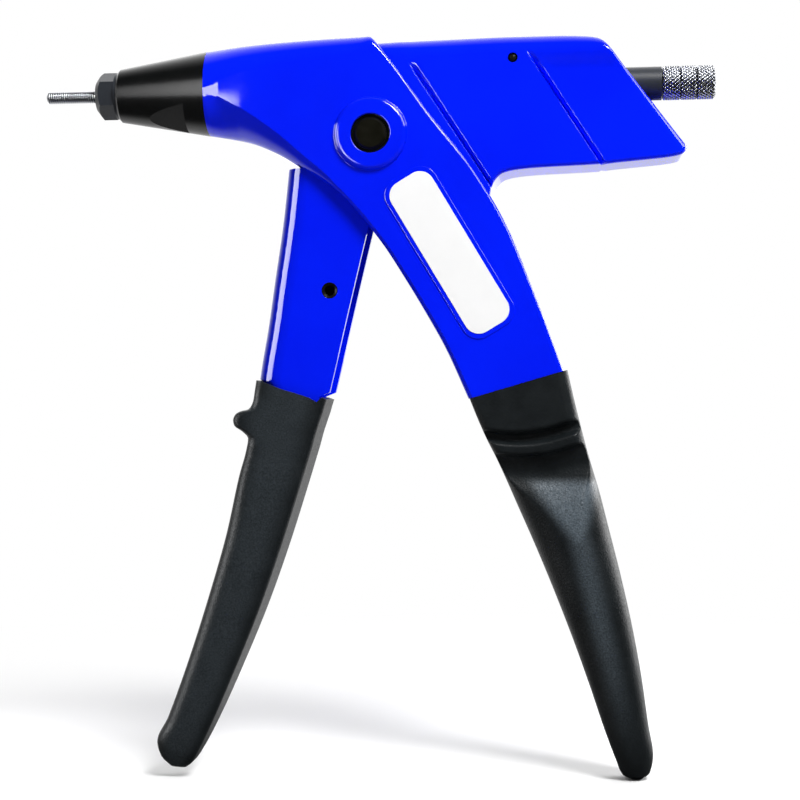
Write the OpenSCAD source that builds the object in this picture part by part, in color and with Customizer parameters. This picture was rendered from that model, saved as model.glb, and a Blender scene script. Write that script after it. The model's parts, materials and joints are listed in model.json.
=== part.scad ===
// Hand lever rivet nut tool: one lever pulls a threaded mandrel, a knurled knob spins it in and out.
// Millimetres. The origin is the middle of the nosepiece's front face, on the mandrel's axis.
// +X runs from the nose to the knob, +Z is up, and the tool's middle plane is Y = 0.

/* [Mandrel] */
// Outside diameter of the mandrel's thread
mandrel_d = 4; // [3:0.1:4.2]
// Length of thread that stands out of the nosepiece
mandrel_free = 16.5; // [10:0.5:22]
// Diameter of the mandrel's head
mandrel_head_d = 7; // [6:0.1:8]
// Depth of the mandrel's thread
thread_depth = 0.4; // [0.3:0.05:0.5]
// Length of the mandrel's head
mandrel_head_len = 4; // [3:0.1:5]
// Width across flats of the key that turns the mandrel
key_af = 3; // [2.5:0.1:3.4]

/* [Nosepiece] */
// Width across the flats of the nosepiece's hexagon
nose_af = 13; // [12:0.1:15]
// Length of the hexagon
nose_hex_len = 6.3; // [5:0.1:9]
// Diameter of the nosepiece's flat front face
nose_face_d = 9.6; // [8:0.1:11]
// Diameter of the round collar behind the hexagon
nose_collar_d = 14.6; // [13:0.1:16]
// Length of the round collar
nose_collar_len = 1; // [0.6:0.1:2]
// Diameter of the threaded stub in the nose cone
nose_stub_d = 10; // [9:0.1:12]
// Length of the threaded stub
nose_stub_len = 8; // [6:0.1:8.5]

/* [Nose cone] */
// Diameter at the front of the cone
cone_front_d = 16.9; // [16:0.1:19]
// Diameter at the seam with the housing
cone_rear_d = 26.8; // [26:0.1:28]
// Length of the cone
cone_len = 28.9; // [28:0.1:34]
// Width across the pair of spanner flats
cone_flat_af = 20.4; // [19:0.1:22]
// Length of cone left round behind the flats
cone_land = 6.7; // [4:0.1:9]
// Tilt of the flats below the horizontal
cone_flat_tilt = 55; // [30:1:80]
// Diameter of the bore that the chuck runs in
cone_bore_d = 15.6; // [15.2:0.1:16.4]
// Diameter of the threaded spigot behind the cone
spigot_d = 21; // [19.5:0.1:22]
// Length of the spigot
spigot_len = 8.5; // [6:0.1:10]

/* [Draw tube] */
// Outside diameter of the chuck at the tube's front
chuck_d = 14.6; // [14:0.1:14.9]
// Length of the chuck
chuck_len = 13; // [12:0.1:13.5]
// Diameter of the tube in the front bush
tube_front_d = 12; // [11:0.1:12.6]
// Diameter of the tube behind the yoke
tube_rear_d = 10.4; // [9.6:0.1:10.8]
// Bore of the tube
tube_bore_d = 6.4; // [5.6:0.1:7]
// Distance from the seam to the tube's rear end
tube_tail = 142.8; // [138:0.1:150]

/* [Thrust bearing] */
// Diameter of the two thrust races
race_d = 11.2; // [10.4:0.1:11.4]
// Thickness of a race
race_t = 1; // [0.8:0.1:1.2]
// Diameter of a ball
ball_d = 2; // [1.6:0.1:2.2]
// Number of balls
ball_count = 9; // [6:1:10]
// Diameter of the ring that the balls run on
ball_ring_d = 8.2; // [8:0.1:8.6]

/* [Knob] */
// Diameter of the knurled knob
knob_d = 10.5; // [10:0.1:12]
// Length of the knob
knob_len = 16.3; // [15:0.1:22]
// Gap between the tube's end and the knob
knob_gap = 0.2; // [0.1:0.1:1]
// Width of the chamfer at the knob's end
knob_chamfer = 0.8; // [0.4:0.1:1.2]

/* [Lever] */
// Outside width of the lever's channel
lever_w = 18; // [17:0.1:18.4]
// Thickness of the lever's sheet
lever_sheet = 2; // [1.6:0.1:2.2]
// Outside radius of the channel's bends
lever_bend = 8; // [6.5:0.1:8.4]
// Angle that the lever turns through in one squeeze
squeeze = 26; // [20:1:26]
// Distance from the pivot to the drive pin
drive_r = 12.2; // [11.6:0.1:12.6]
// Diameter of the drive pin
drive_pin_d = 5; // [4:0.1:5.4]
// Diameter of the drive roller
roller_d = 8; // [7.6:0.1:8.2]
// Diameter of the rivet that ties the channel's cheeks
tie_d = 5; // [4.4:0.1:5.6]
// Wall round the rivet's drilled ends
tie_wall = 0.9; // [0.7:0.1:1.2]
// Depth of the rivet's drilled ends
tie_drill = 5; // [3:0.1:7]

/* [Pivot] */
// Diameter of the pivot pin
pivot_d = 10; // [9:0.1:10.2]
// Wall of the pivot bushes
bush_wall = 1.05; // [0.9:0.05:1.4]
// Diameter of the housing's raised boss
boss_d = 22.6; // [20:0.1:25]
// Height of the boss above the housing's side
boss_h = 1.6; // [1.2:0.1:2.4]
// Thickness of a retaining ring
ring_t = 0.8; // [0.6:0.1:1]
// How far a retaining ring lies below the boss's face
ring_sunk = 1.3; // [0.6:0.1:1.6]
// Radius of the lever's ears round the pivot
ear_r = 9.5; // [8.5:0.1:10]

/* [Housing] */
// Half the thickness of the housing at the pivot
slab_half = 13; // [12.6:0.1:14]
// Height of the cavity's roof above the mandrel's axis
cavity_top = 11; // [10:0.1:11.5]
// Length of the front bush
front_bush_len = 16; // [12:0.1:17]
// Outside diameter of the front bush
front_bush_d = 17; // [15:0.1:18]
// Thickness of the front bush's flange
bush_flange_t = 2; // [1.5:0.1:2.5]

/* [Hood] */
// Half the thickness of the rear hood
hood_half = 11.2; // [11:0.1:11.6]
// Wall of the hood
hood_wall = 2; // [1.6:0.1:2.2]
// Height of the step in the hood's sides
hood_step = 1; // [0.6:0.1:1.2]
// Width of the groove in the hood's sides behind the housing's edge
groove_w = 1.4; // [1:0.1:1.8]
// Depth of that groove
groove_deep = 0.7; // [0.4:0.1:0.9]
// Diameter of the cross pin in the hood
hood_pin_d = 3; // [2.6:0.1:3.2]
// Length of the rear guide
guide_len = 10.5; // [8:0.1:10.5]

/* [Grips] */
// Half the thickness of the fixed grip's collar
grip_half = 13.3; // [13:0.1:14]
// Half the thickness of the fixed grip's cross lip
lip_half = 12.8; // [12:0.1:13.4]
// Half the thickness in the recesses above and below the lip
recess_half = 10.6; // [10:0.1:11.2]
// Half the thickness of the lever's grip at its top
lever_grip_half = 11.5; // [11:0.1:12.5]
// How far the finger stop stands out of the lever's grip
stop_out = 5; // [4:0.1:6]

/* [Return spring] */
// Diameter of the spring's wire
wire_d = 1.6; // [1.2:0.1:1.8]
// Mean diameter of the coil
coil_d = 14; // [13.4:0.1:14.4]
// Number of turns
coil_turns = 6; // [4:1:7]

/* [Fits] */
// Radial clearance of a running fit
run_fit = 0.05; // [0.02:0.01:0.08]
// Clearance of pieces that are fixed together
snug_fit = 0.02; // [0.01:0.01:0.05]
// Room between pieces that must not touch
free_gap = 0.3; // [0.2:0.05:0.4]
// Room beside each of the lever's cheeks in the housing
cheek_room = 0.5; // [0.4:0.05:0.8]

/* [Hidden] */
$fn = 64;

// Steps of each rounded corner in a lofted section
arc_steps = 4;
// Least flat left between two rounded corners
least_flat = 0.4;
// Overrun of a cut past the face it opens
cut_over = 1;

// Places along the mandrel's axis
cone_x = nose_hex_len + nose_collar_len;
cone_end = cone_x + cone_len;
// Depth of the housing's front face behind the plane that places behind the nose are measured from
front_x = 0.7;
seam_x = cone_end - front_x;
cone_bore_x = cone_x + nose_stub_len + 1.2;
cap_t = 3;
cap_spigot_len = 2;
cap_x = cone_bore_x + 0.7;
chuck_x = cap_x + cap_t;
race_x = chuck_x + cap_spigot_len;
ball_x = race_x + race_t + ball_d / 2;
rear_race_x = race_x + race_t + ball_d;
head_x = rear_race_x + race_t + run_fit;
pocket_end = head_x + mandrel_head_len + 0.8;
pocket_d = race_d + 0.4;
mandrel_hole_d = mandrel_d + 0.4;
shank_d = mandrel_d - 2 * thread_depth;

// Places behind the seam, as offsets from it
bush_x = front_x + spigot_len;
pivot = [53, -15.4];
half_turn = squeeze / 2;
stroke = 2 * drive_r * sin(half_turn);
drive = pivot + drive_r * [-sin(half_turn), -cos(half_turn)];
yoke_x = 44.5;
yoke_len = 17;
yoke_boss_d = 15.6;
yoke_half = 4;
yoke_side = 4;
yoke_drop = 5.7;
nut_len = 6;
nut_d = 16;
nut_x = yoke_x + yoke_len;
hood_pin = [97, 7.3];
guide_behind_pin = 2.5;
guide_x = hood_pin[0] + guide_behind_pin - guide_len;
tie = [39.3, -63.4];
knob_x = tube_tail + knob_gap;
spindle_d = tube_bore_d - 2 * run_fit;
spindle_in_knob = 9.5;
spindle_end = knob_x + spindle_in_knob;
screw_d = 3.2;
screw_head_d = 5.8;
screw_head_len = 2;
screw_len = 8;
screw_hole_len = 6;
screw_sunk = 0.6;
screw_key_af = 2.5;
screw_key_deep = 1.2;
bush_d = pivot_d + 2 * bush_wall;
cheek_in = lever_w / 2 - lever_sheet;
boss_face = slab_half + boss_h;
cavity_front = 29.8;
cavity_half = lever_w / 2 + cheek_room;

// Each row of a loft holds the section's two ends [x, z] and [x, z], its half thickness,
// and the corner radius at each end. Places are measured from the seam.
seam_r = cone_rear_d / 2;
// Corner radius of the housing's arm
arm_edge = 1.4;
housing_rows = [
    [front_x, seam_r, front_x, -seam_r, seam_r, seam_r - 0.4, seam_r - 0.4],
    [13.5, 14.3, 12, -15.6, 13.4, 9, 9],
    [26.5, 15, 22.5, -20, 13.2, 6.5, 6],
    [40, 15.5, 31.5, -25.6, slab_half, 5, 3.8],
    [49, 15.6, 38.5, -30, slab_half, 3.8, 2.4],
    [52.8, 15.5, 42.5, -33, slab_half, 2.6, arm_edge],
    [54.4, 14.9, 44.5, -35, slab_half, 2, arm_edge],
    [56, 13.8, 46, -36.6, slab_half, 1.6, arm_edge],
    [61.7, 8.2, 50.5, -41.8, slab_half, arm_edge, arm_edge],
    [73, -8.1, 56.7, -50, slab_half, arm_edge, arm_edge],
    [84, -25, 63, -60, slab_half, arm_edge, arm_edge],
    [95, -45, 69.5, -71, slab_half, arm_edge, arm_edge],
    [102.5, -64, 75.5, -82, slab_half, arm_edge, arm_edge],
    [111.6, -89.3, 82.4, -97.6, slab_half, arm_edge, arm_edge]
];
tang_half = 8.5;
tang_rows = [
    [106, -90.9, 88, -96, tang_half, 3, 3],
    [111.5, -112, 95, -117, tang_half, 3, 3],
    [117, -132, 102.5, -136, tang_half, 3, 3],
    [124, -162, 112.5, -165, 7.5, 3, 3],
    [129.5, -190, 121.5, -192, 6, 2.5, 2.5]
];
fixed_grip_rows = [
    [112.8, -89.3, 82.9, -98.1, grip_half, 2.2, 1.8],
    [114.9, -98.6, 84.9, -103.2, grip_half, 2.4, 2.2],
    [116, -103.6, 86.2, -106.4, grip_half, 2.6, 2.8],
    [116.5, -105.2, 87, -108.2, recess_half, 2.6, 3.4],
    [117, -107.4, 87.9, -110.2, recess_half, 2.6, 3.4],
    [117.4, -108.8, 88.6, -111.6, lip_half, 3, 3.6],
    [118.2, -112, 90.2, -115, lip_half, 3, 3.6],
    [118.7, -114, 91.2, -117, recess_half - 0.2, 5, 6],
    [119.9, -118.4, 93.2, -121.8, recess_half - 0.2, 7, 8],
    [122.1, -126, 96.3, -129.4, 11.6, 9, 10],
    [125.2, -138.5, 102.3, -143.5, 12.6, 10, 11],
    [128.7, -153, 108, -157.5, 12.6, 9, 10],
    [131.9, -168, 113.3, -171.5, 11.8, 8, 9],
    [134.7, -184, 118.7, -187, 10.6, 7, 7.5],
    [136.7, -199, 123.3, -201, 9.4, 6, 6],
    [138.1, -208.5, 126.6, -210, 8, 5, 5],
    [137, -214.3, 128.8, -214.9, 5.6, 3.6, 3.6],
    [134.4, -216.2, 131.6, -216.3, 2.6, 1.2, 1.2]
];
lever_rows = [
    [57, -25, 25.8, -25],
    [54.2, -33.8, 24.9, -33],
    [51.4, -44.6, 23.8, -42],
    [46.9, -62.6, 21, -60],
    [43, -78.6, 18.7, -75.1],
    [40.3, -90, 16.6, -86.6],
    [39, -95.2, 16, -90.7],
    [35.9, -96.4, 17, -91.5],
    [34.8, -101.6, 16.4, -98.3],
    [31.2, -113.6, 14.8, -110.4],
    [27.3, -126.2, 12.4, -122.6],
    [21.3, -144, 8.2, -141],
    [14.2, -162.5, 2.4, -160],
    [5.8, -182, -4.6, -180]
];
// The row at which the lever has stepped in to enter its grip
lever_neck = 7;
// The lever grip's top rows: its back, its front without the finger stop, and how far the stop
// moves the front there, out and up, as shares of the stop's height
stop_rows = [
    [[38.2, -97.3], [16, -91.1], [0, 0]],
    [[37.5, -99.5], [15.4, -94.7], [0, 0]],
    [[37, -101.2], [14.9, -97.6], [0, 0]],
    [[36.4, -102.9], [14.6, -99.4], [0.25, -0.15]],
    [[36, -104], [14.4, -101], [0.72, 0.05]],
    [[35.6, -105.2], [14.1, -102.4], [1, 0.1]],
    [[35.1, -106.6], [13.9, -103.8], [1.08, 0.05]],
    [[34.6, -108.2], [13.6, -105.4], [0.94, 0.03]],
    [[34.1, -110], [13.3, -107.2], [0.42, 0.05]],
    [[33.6, -111.8], [13.1, -109.2], [0, 0]],
    [[32.7, -114.7], [12.5, -112.6], [0, 0]]
];
// Corner radius of the lever grip's front at its top, and of its back
stop_corner = 3;
grip_back_corner = 2.2;
// How much the lever grip swells in the palm
palm_swell = 0.4;
function stop_row(row) = concat(row[0], row[1] + stop_out * [-row[2][0], row[2][1]],
    [lever_grip_half, grip_back_corner, stop_corner]);
lever_grip_rows = concat([for (row = stop_rows) stop_row(row)], [
    [29.9, -123.5, 10.2, -120.7, lever_grip_half + palm_swell, grip_back_corner, 4],
    [23.5, -143, 5.6, -139.8, lever_grip_half + palm_swell, grip_back_corner, 5],
    [16.6, -162, -0.2, -159, lever_grip_half, grip_back_corner, 5],
    [7.5, -183.5, -7.4, -180.3, 10.8, grip_back_corner, 5],
    [0, -199.8, -13.9, -197, 9.4, grip_back_corner, 5],
    [-4.3, -208, -17.8, -205.4, 7.8, grip_back_corner, 5],
    [-6.8, -211.8, -16.8, -209.8, 5.6, grip_back_corner, 4],
    [-9, -213.5, -14, -213, 2.6, 1.6, 1.6]
]);
// Outline of the dip in the lever grip's mouth, cut through its sides
mouth_dip = [
    [18, -91.6], [23.7, -93.9], [28.1, -95.2], [32.5, -96.7], [35.2, -98.2], [36.3, -97.1],
    [37.4, -95], [28, -90]
];

// Corner radius of the hood's lower edges
hood_edge = 1.4;
// Rows of the hood from its lip inside the housing to its slanted mouth
hood_rows = [
    [51, 13.6, 85.6, -37.4, hood_half, 6, hood_edge],
    [56.5, 13.8, 89.5, -35.4, hood_half, 6, hood_edge],
    [61, 14.1, 90.3, -31.8, hood_half, 6.5, hood_edge],
    [67.5, 14.3, 93.9, -28, hood_half, 7, hood_edge],
    [76, 14.5, 100.6, -26.9, hood_half, 7, hood_edge],
    [96.6, 14.9, 122.5, -26.2, hood_half, 7, hood_edge],
    [98.2, 14.9, 124.2, -26.1, hood_half - hood_step, 7, hood_edge],
    [110, 14.9, 136, -25.2, hood_half - hood_step, 7, hood_edge],
    [119.6, 14.4, 146, -24.1, hood_half - hood_step, 6.4, hood_edge],
    [122.6, 13.9, 148.4, -23.5, hood_half - hood_step, 6, hood_edge],
    [124.3, 13.2, 149.6, -22.5, hood_half - hood_step - 0.5, 5.4, hood_edge],
    [125, 12.4, 150.1, -21.8, hood_half - hood_step - 1.3, 4.8, hood_edge]
];

// Lofting

// A value on the smooth curve through b and c, with a and d as the outer neighbours
function curve_at(a, b, c, d, t) =
    0.5 * (2 * b + (c - a) * t + (2 * a - 5 * b + 4 * c - d) * t * t + (3 * (b - c) + d - a) * t * t * t);

// The rows of a loft with smooth rows filled in, steps of them from each row to the next
function smooth_rows(rows, steps) = let (last = len(rows) - 1) concat(
    [for (i = [0 : last - 1]) for (k = [0 : steps - 1])
        curve_at(rows[max(i - 1, 0)], rows[i], rows[i + 1], rows[min(i + 2, last)], k / steps)],
    [rows[last]]);

// A row grown on all sides by a distance, or shrunk if it is negative
function grown(row, by) = let (
    a = [row[0], row[1]],
    b = [row[2], row[3]],
    u = (a - b) / norm(a - b) * by)
    concat(a + u, b - u, [row[4] + by, max(row[5] + by, 0.3), max(row[6] + by, 0.3)]);

// One closed section: a rectangle with rounded corners, standing on the line between a row's ends
function section(row) = let (
    a = [row[0], row[1]],
    b = [row[2], row[3]],
    u = (a - b) / norm(a - b),
    half = row[4])
    [for (corner = [0 : 3]) for (k = [0 : arc_steps]) let (
        near_a = corner == 0 || corner == 3,
        turn = 90 * (corner + k / arc_steps),
        r = near_a ? row[5] : row[6],
        ry = min(r, half - least_flat),
        base = near_a ? a - u * r : b + u * r,
        side = corner < 2 ? 1 : -1,
        p = base + u * r * cos(turn))
        [p[0], side * (half - ry) + ry * sin(turn), p[1]]];

// One closed section of a bent channel that is open at the row's first end
function channel_section(row) = let (
    a = [row[0], row[1]],
    b = [row[2], row[3]],
    u = (a - b) / norm(a - b),
    half = lever_w / 2,
    base = b + u * lever_bend,
    bends = [for (corner = [1 : 2]) for (k = [0 : arc_steps]) [corner, 90 * (corner + k / arc_steps)]],
    outer = [for (bend = bends) bend_point(base, u, half, lever_bend, bend)],
    inner = [for (bend = bends) bend_point(base, u, half, lever_bend - lever_sheet, bend)])
    concat(
        [[a[0], half, a[1]]], outer, [[a[0], -half, a[1]], [a[0], -cheek_in, a[1]]],
        [for (k = [len(inner) - 1 : -1 : 0]) inner[k]], [[a[0], cheek_in, a[1]]]);
function bend_point(base, u, half, r, bend) = let (
    p = base + u * r * cos(bend[1]),
    side = bend[0] == 1 ? 1 : -1)
    [p[0], side * (half - lever_bend) + r * sin(bend[1]), p[1]];

// A solid through a list of sections, closed by end faces, or joined end to start as a ring.
// A channel's end faces are strips between its outer and its inner half.
module skin(rings, ring = false, channel = false) {
    count = len(rings[0]);
    last = len(rings) - 1;
    sides = [for (i = [0 : ring ? last : last - 1]) for (j = [0 : count - 1]) let (
        p = i * count,
        q = (i == last ? 0 : i + 1) * count,
        n = (j + 1) % count)
        each [[p + j, p + n, q + n], [p + j, q + n, q + j]]];
    whole = [for (j = [0 : count - 1]) j];
    strips = [for (j = [0 : count / 2 - 2]) [j, j + 1, count - 2 - j, count - 1 - j]];
    faces = channel ? strips : [whole];
    ends = ring ? [] : [for (face = faces) each [
        [for (k = [len(face) - 1 : -1 : 0]) face[k]],
        [for (k = face) last * count + k]]];
    polyhedron([for (r = rings) each r], concat(sides, ends));
}

// A hollow sleeve with a closed foot: the outer rows from the mouth down, the inner rows likewise
module sleeve(outer, inner) {
    skin(concat([for (k = [len(inner) - 1 : -1 : 0]) section(inner[k])], [for (row = outer) section(row)]));
}

// Plain shapes

// Puts children at the seam between the nose cone and the housing
module at_seam() {
    translate([seam_x, 0, 0]) children();
}

// A round bar along X
module rod(d, x0, x1) {
    translate([x0, 0, 0]) rotate([0, 90, 0]) cylinder(d = d, h = x1 - x0);
}

// A cone along X
module taper(d0, d1, x0, x1) {
    translate([x0, 0, 0]) rotate([0, 90, 0]) cylinder(d1 = d0, d2 = d1, h = x1 - x0);
}

// A hexagonal bar along X, measured across its flats
module hex_rod(af, x0, x1) {
    translate([x0, 0, 0]) rotate([0, 90, 0]) cylinder(d = af / cos(30), h = x1 - x0, $fn = 6);
}

// A round bar along Y, at a point of the middle plane
module cross_rod(d, at, y0, y1) {
    translate([at[0], y0, at[1]]) rotate([-90, 0, 0]) cylinder(d = d, h = y1 - y0);
}

// A flat plate: an outline in X and Z, thick from y0 to y1
module plate(outline, y0, y1) {
    translate([0, y1, 0]) rotate([90, 0, 0]) linear_extrude(y1 - y0) polygon(outline);
}

// The same child on both sides of the middle plane
module both_sides() {
    children();
    mirror([0, 1, 0]) children();
}

// The place of a point of the lever after a full squeeze
function squeezed(p) = let (d = p - pivot)
    pivot + [d[0] * cos(squeeze) - d[1] * sin(squeeze), d[0] * sin(squeeze) + d[1] * cos(squeeze)];

// Housing and hood

// Room that the lever's open edge sweeps, cut from the housing's arm
sweep_gap = 1.6;
function swept(k) = squeezed([lever_rows[k][0], lever_rows[k][1]]) + [sweep_gap, 0];
cavity_outline = [
    [cavity_front, -40], [cavity_front, cavity_top], [63, cavity_top], [91, -31.4],
    [82, -34.6], swept(2) + [0, 2], swept(3), swept(4), swept(5), [60, -92]
];
// Socket that takes the hood's front lip
socket_gap = 0.15;
socket_rise = 0.8;
lip_top = [hood_rows[0][0], hood_rows[0][1]];
lip_foot = [hood_rows[0][2], hood_rows[0][3]];
socket_outline = [
    lip_top + [-socket_gap, socket_gap], lip_top + [21, socket_rise], lip_foot + [10.4, 7.4],
    lip_foot + [4.2, 1.4], lip_foot + [-socket_gap, -3 * socket_gap]
];

module boss() {
    edge = 0.8;
    translate([pivot[0], slab_half - cut_over, pivot[1]]) rotate([-90, 0, 0]) {
        cylinder(d = boss_d, h = cut_over + boss_h - edge);
        translate([0, 0, cut_over + boss_h - edge]) cylinder(d1 = boss_d, d2 = boss_d - 2 * edge, h = edge);
    }
}

module housing() {
    color("#0a1ee6") at_seam() difference() {
        union() {
            skin([for (row = concat(smooth_rows(housing_rows, 3), smooth_rows(tang_rows, 2))) section(row)]);
            both_sides() boss();
        }
        rod(spigot_d + 2 * snug_fit, front_x - cut_over, bush_x + bush_flange_t + snug_fit);
        rod(front_bush_d + 2 * snug_fit, 0, cavity_front + cut_over);
        plate(cavity_outline, -cavity_half, cavity_half);
        plate(socket_outline, -hood_half - socket_gap, hood_half + socket_gap);
        cross_rod(bush_d + 2 * snug_fit, pivot, -boss_face - cut_over, boss_face + cut_over);
    }
}

// Outline of the groove, from its round top to past the hood's foot
groove_top = [65.9, 5.7];
groove_foot = [90.5, -32];
groove_across = let (along = (groove_foot - groove_top) / norm(groove_foot - groove_top))
    groove_w / 2 * [along[1], -along[0]];
groove_outline = [
    groove_top + groove_across, groove_foot + groove_across,
    groove_foot - groove_across, groove_top - groove_across
];

module rear_hood() {
    outer = smooth_rows(hood_rows, 2);
    inner = [for (row = outer) grown(row, -hood_wall)];
    rings = concat(
        [for (row = outer) section(row)], [for (k = [len(inner) - 1 : -1 : 0]) section(inner[k])]);
    color("#0a1ee6") at_seam() difference() {
        skin(rings, ring = true);
        cross_rod(hood_pin_d + 2 * snug_fit, hood_pin, -hood_half - cut_over, hood_half + cut_over);
        both_sides() {
            plate(groove_outline, hood_half - groove_deep, hood_half + cut_over);
            cross_rod(groove_w, groove_top, hood_half - groove_deep, hood_half + cut_over);
        }
    }
}

module hood_pin() {
    color("#3c3f40") at_seam() cross_rod(hood_pin_d, hood_pin, -hood_half + 0.2, hood_half - 0.2);
}

// Block that carries the tube's rear in the hood, hung on the hood's cross pin
guide_half = hood_half - hood_wall - free_gap;
guide_top = 10.8;
guide_chamfer = 3.4;
guide_foot = -9;
module rear_guide() {
    profile = [
        [guide_foot, -guide_half], [guide_foot, guide_half], [guide_top - guide_chamfer, guide_half],
        [guide_top, guide_half - guide_chamfer], [guide_top, guide_chamfer - guide_half],
        [guide_top - guide_chamfer, -guide_half]
    ];
    color("#b7b9bb") at_seam() difference() {
        translate([guide_x + guide_len, 0, 0]) rotate([0, -90, 0])
            linear_extrude(guide_len) polygon(profile);
        rod(tube_rear_d + 2 * run_fit, guide_x - cut_over, guide_x + guide_len + cut_over);
        cross_rod(hood_pin_d + 2 * snug_fit, hood_pin, -hood_half, hood_half);
    }
}

// Nose

module nose_cone() {
    flat_end = cone_end - cone_land;
    front_edge = 0.6;
    color("#2c2f31") difference() {
        union() {
            taper(cone_front_d - 2 * front_edge, cone_front_d, cone_x, cone_x + front_edge);
            taper(cone_front_d, cone_rear_d, cone_x + front_edge, cone_end);
            rod(spigot_d, cone_end - cut_over, cone_end + spigot_len);
        }
        for (side = [0, 180]) rotate([cone_flat_tilt + side, 0, 0])
            translate([cone_x, -cone_rear_d - cone_flat_af / 2, -cone_rear_d])
                cube([flat_end - cone_x, cone_rear_d, 2 * cone_rear_d]);
        rod(nose_stub_d + 2 * snug_fit, cone_x - cut_over, cone_bore_x + cut_over);
        rod(cone_bore_d, cone_bore_x, cone_end + spigot_len + cut_over);
    }
}

module nosepiece() {
    face_h = nose_af / cos(30) / 2 - nose_face_d / 2;
    slope = 0.75;
    color("#33373a") difference() {
        union() {
            intersection() {
                hex_rod(nose_af, 0, nose_hex_len);
                union() {
                    taper(nose_face_d, nose_face_d + 2 * face_h, 0, face_h * slope);
                    rod(nose_face_d + 2 * face_h, face_h * slope, nose_hex_len);
                }
            }
            rod(nose_collar_d, nose_hex_len, cone_x);
            rod(nose_stub_d, cone_x - nose_collar_len, cone_x + nose_stub_len);
        }
        rod(mandrel_hole_d, -cut_over, cone_x + nose_stub_len + cut_over);
    }
}

module front_bush() {
    flange_d = spigot_d - 0.4;
    color("#b08d4c") at_seam() difference() {
        union() {
            rod(flange_d, bush_x + snug_fit, bush_x + bush_flange_t);
            rod(front_bush_d, bush_x + snug_fit, bush_x + bush_flange_t + front_bush_len);
        }
        rod(tube_front_d + 2 * run_fit, 0, bush_x + bush_flange_t + front_bush_len + cut_over);
    }
}

// Pivot

pin_end = boss_face - 0.3;
pin_chamfer = 0.7;
module pivot_pin() {
    color("#2a2b28") at_seam() translate([pivot[0], 0, pivot[1]]) rotate([-90, 0, 0]) {
        cylinder(d = pivot_d, h = 2 * (pin_end - pin_chamfer), center = true);
        both_ends() translate([0, 0, pin_end - pin_chamfer])
            cylinder(d1 = pivot_d, d2 = pivot_d - 2 * pin_chamfer, h = pin_chamfer);
    }
}
module both_ends() {
    children();
    mirror([0, 0, 1]) children();
}

ring_seat = boss_face - ring_t - ring_sunk;
module bush_tube(d, y0, y1) {
    difference() {
        cross_rod(d, pivot, y0, y1);
        cross_rod(pivot_d + 2 * snug_fit, pivot, y0 - cut_over, y1 + cut_over);
    }
}
module pivot_bushes() {
    color("#7d6a45") at_seam() both_sides() bush_tube(bush_d, cavity_half, ring_seat - snug_fit);
}

module retaining_rings() {
    color("#191b1c") at_seam() both_sides() bush_tube(bush_d, ring_seat, ring_seat + ring_t);
}

// Grips

// Room between a grip and the metal inside it
grip_fit = 0.1;
// Rows with one more row, so that a grip's bore ends a little past the metal
function run_on(rows) = let (last = rows[len(rows) - 1], step = last - rows[len(rows) - 2])
    concat(rows, [last + step * 0.1]);

module fixed_grip() {
    bore = [for (row = run_on(smooth_rows(tang_rows, 2))) grown(row, grip_fit)];
    color("#25282a") at_seam() sleeve(smooth_rows(fixed_grip_rows, 2), bore);
}

// Rows of the channel's outside, of which the lever's grip covers those from the neck on
lever_steps = 2;
lever_full_rows = smooth_rows(
    [for (row = lever_rows) concat(row, [lever_w / 2, 0.1, lever_bend])], lever_steps);
module lever_grip() {
    covered = [for (k = [lever_steps * lever_neck : len(lever_full_rows) - 1]) lever_full_rows[k]];
    bore = [for (row = run_on(covered)) grown(row, grip_fit)];
    color("#25282a") at_seam() difference() {
        sleeve(smooth_rows(lever_grip_rows, 2), bore);
        plate(mouth_dip, -lever_grip_half - cut_over, lever_grip_half + cut_over);
    }
}

// Lever

// Outline of one cheek's ear, from the flat of the channel's top to the pivot and the drive pin
ear_front = lever_rows[0][2] + lever_bend + free_gap;
ear_outline = [
    [ear_front, -25], pivot + ear_r * [cos(140), sin(140)], pivot + ear_r * [cos(20), sin(20)],
    pivot + ear_r * [cos(-20), sin(-20)], [58, -25], [56, -30], [ear_front, -30]
];
module lever() {
    pivot_hole = pivot_d + 2 * run_fit;
    color("#0a1ee6") at_seam() difference() {
        union() {
            skin([for (row = smooth_rows(lever_rows, lever_steps)) channel_section(row)], channel = true);
            both_sides() {
                plate(ear_outline, cheek_in, lever_w / 2);
                cross_rod(2 * ear_r, pivot, cheek_in, lever_w / 2);
            }
        }
        cross_rod(pivot_hole, pivot, -lever_w, lever_w);
        cross_rod(drive_pin_d + 2 * snug_fit, drive, -lever_w, lever_w);
        cross_rod(tie_d + 2 * snug_fit, tie, -lever_w, lever_w);
    }
}

module lever_tie() {
    color("#44484a") at_seam() difference() {
        cross_rod(tie_d, tie, -lever_w / 2, lever_w / 2);
        both_sides() cross_rod(tie_d - 2 * tie_wall, tie, lever_w / 2 - tie_drill, lever_w);
    }
}

module drive_pin() {
    color("#8f9395") at_seam() cross_rod(drive_pin_d, drive, -lever_w / 2 + 0.2, lever_w / 2 - 0.2);
}

module drive_roller() {
    color("#c2c5c7") at_seam() difference() {
        cross_rod(roller_d, drive, -cheek_in + free_gap, cheek_in - free_gap);
        cross_rod(drive_pin_d + 2 * snug_fit, drive, -lever_w, lever_w);
    }
}

// Draw line

module draw_tube() {
    color("#3a3d3e") difference() {
        union() {
            rod(chuck_d, chuck_x, chuck_x + chuck_len);
            rod(tube_front_d, chuck_x + chuck_len - cut_over, seam_x + yoke_x);
            rod(tube_rear_d, seam_x + yoke_x - cut_over, seam_x + tube_tail);
        }
        rod(pocket_d, chuck_x - cut_over, pocket_end);
        rod(tube_bore_d, chuck_x, seam_x + tube_tail + cut_over);
    }
}

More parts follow.
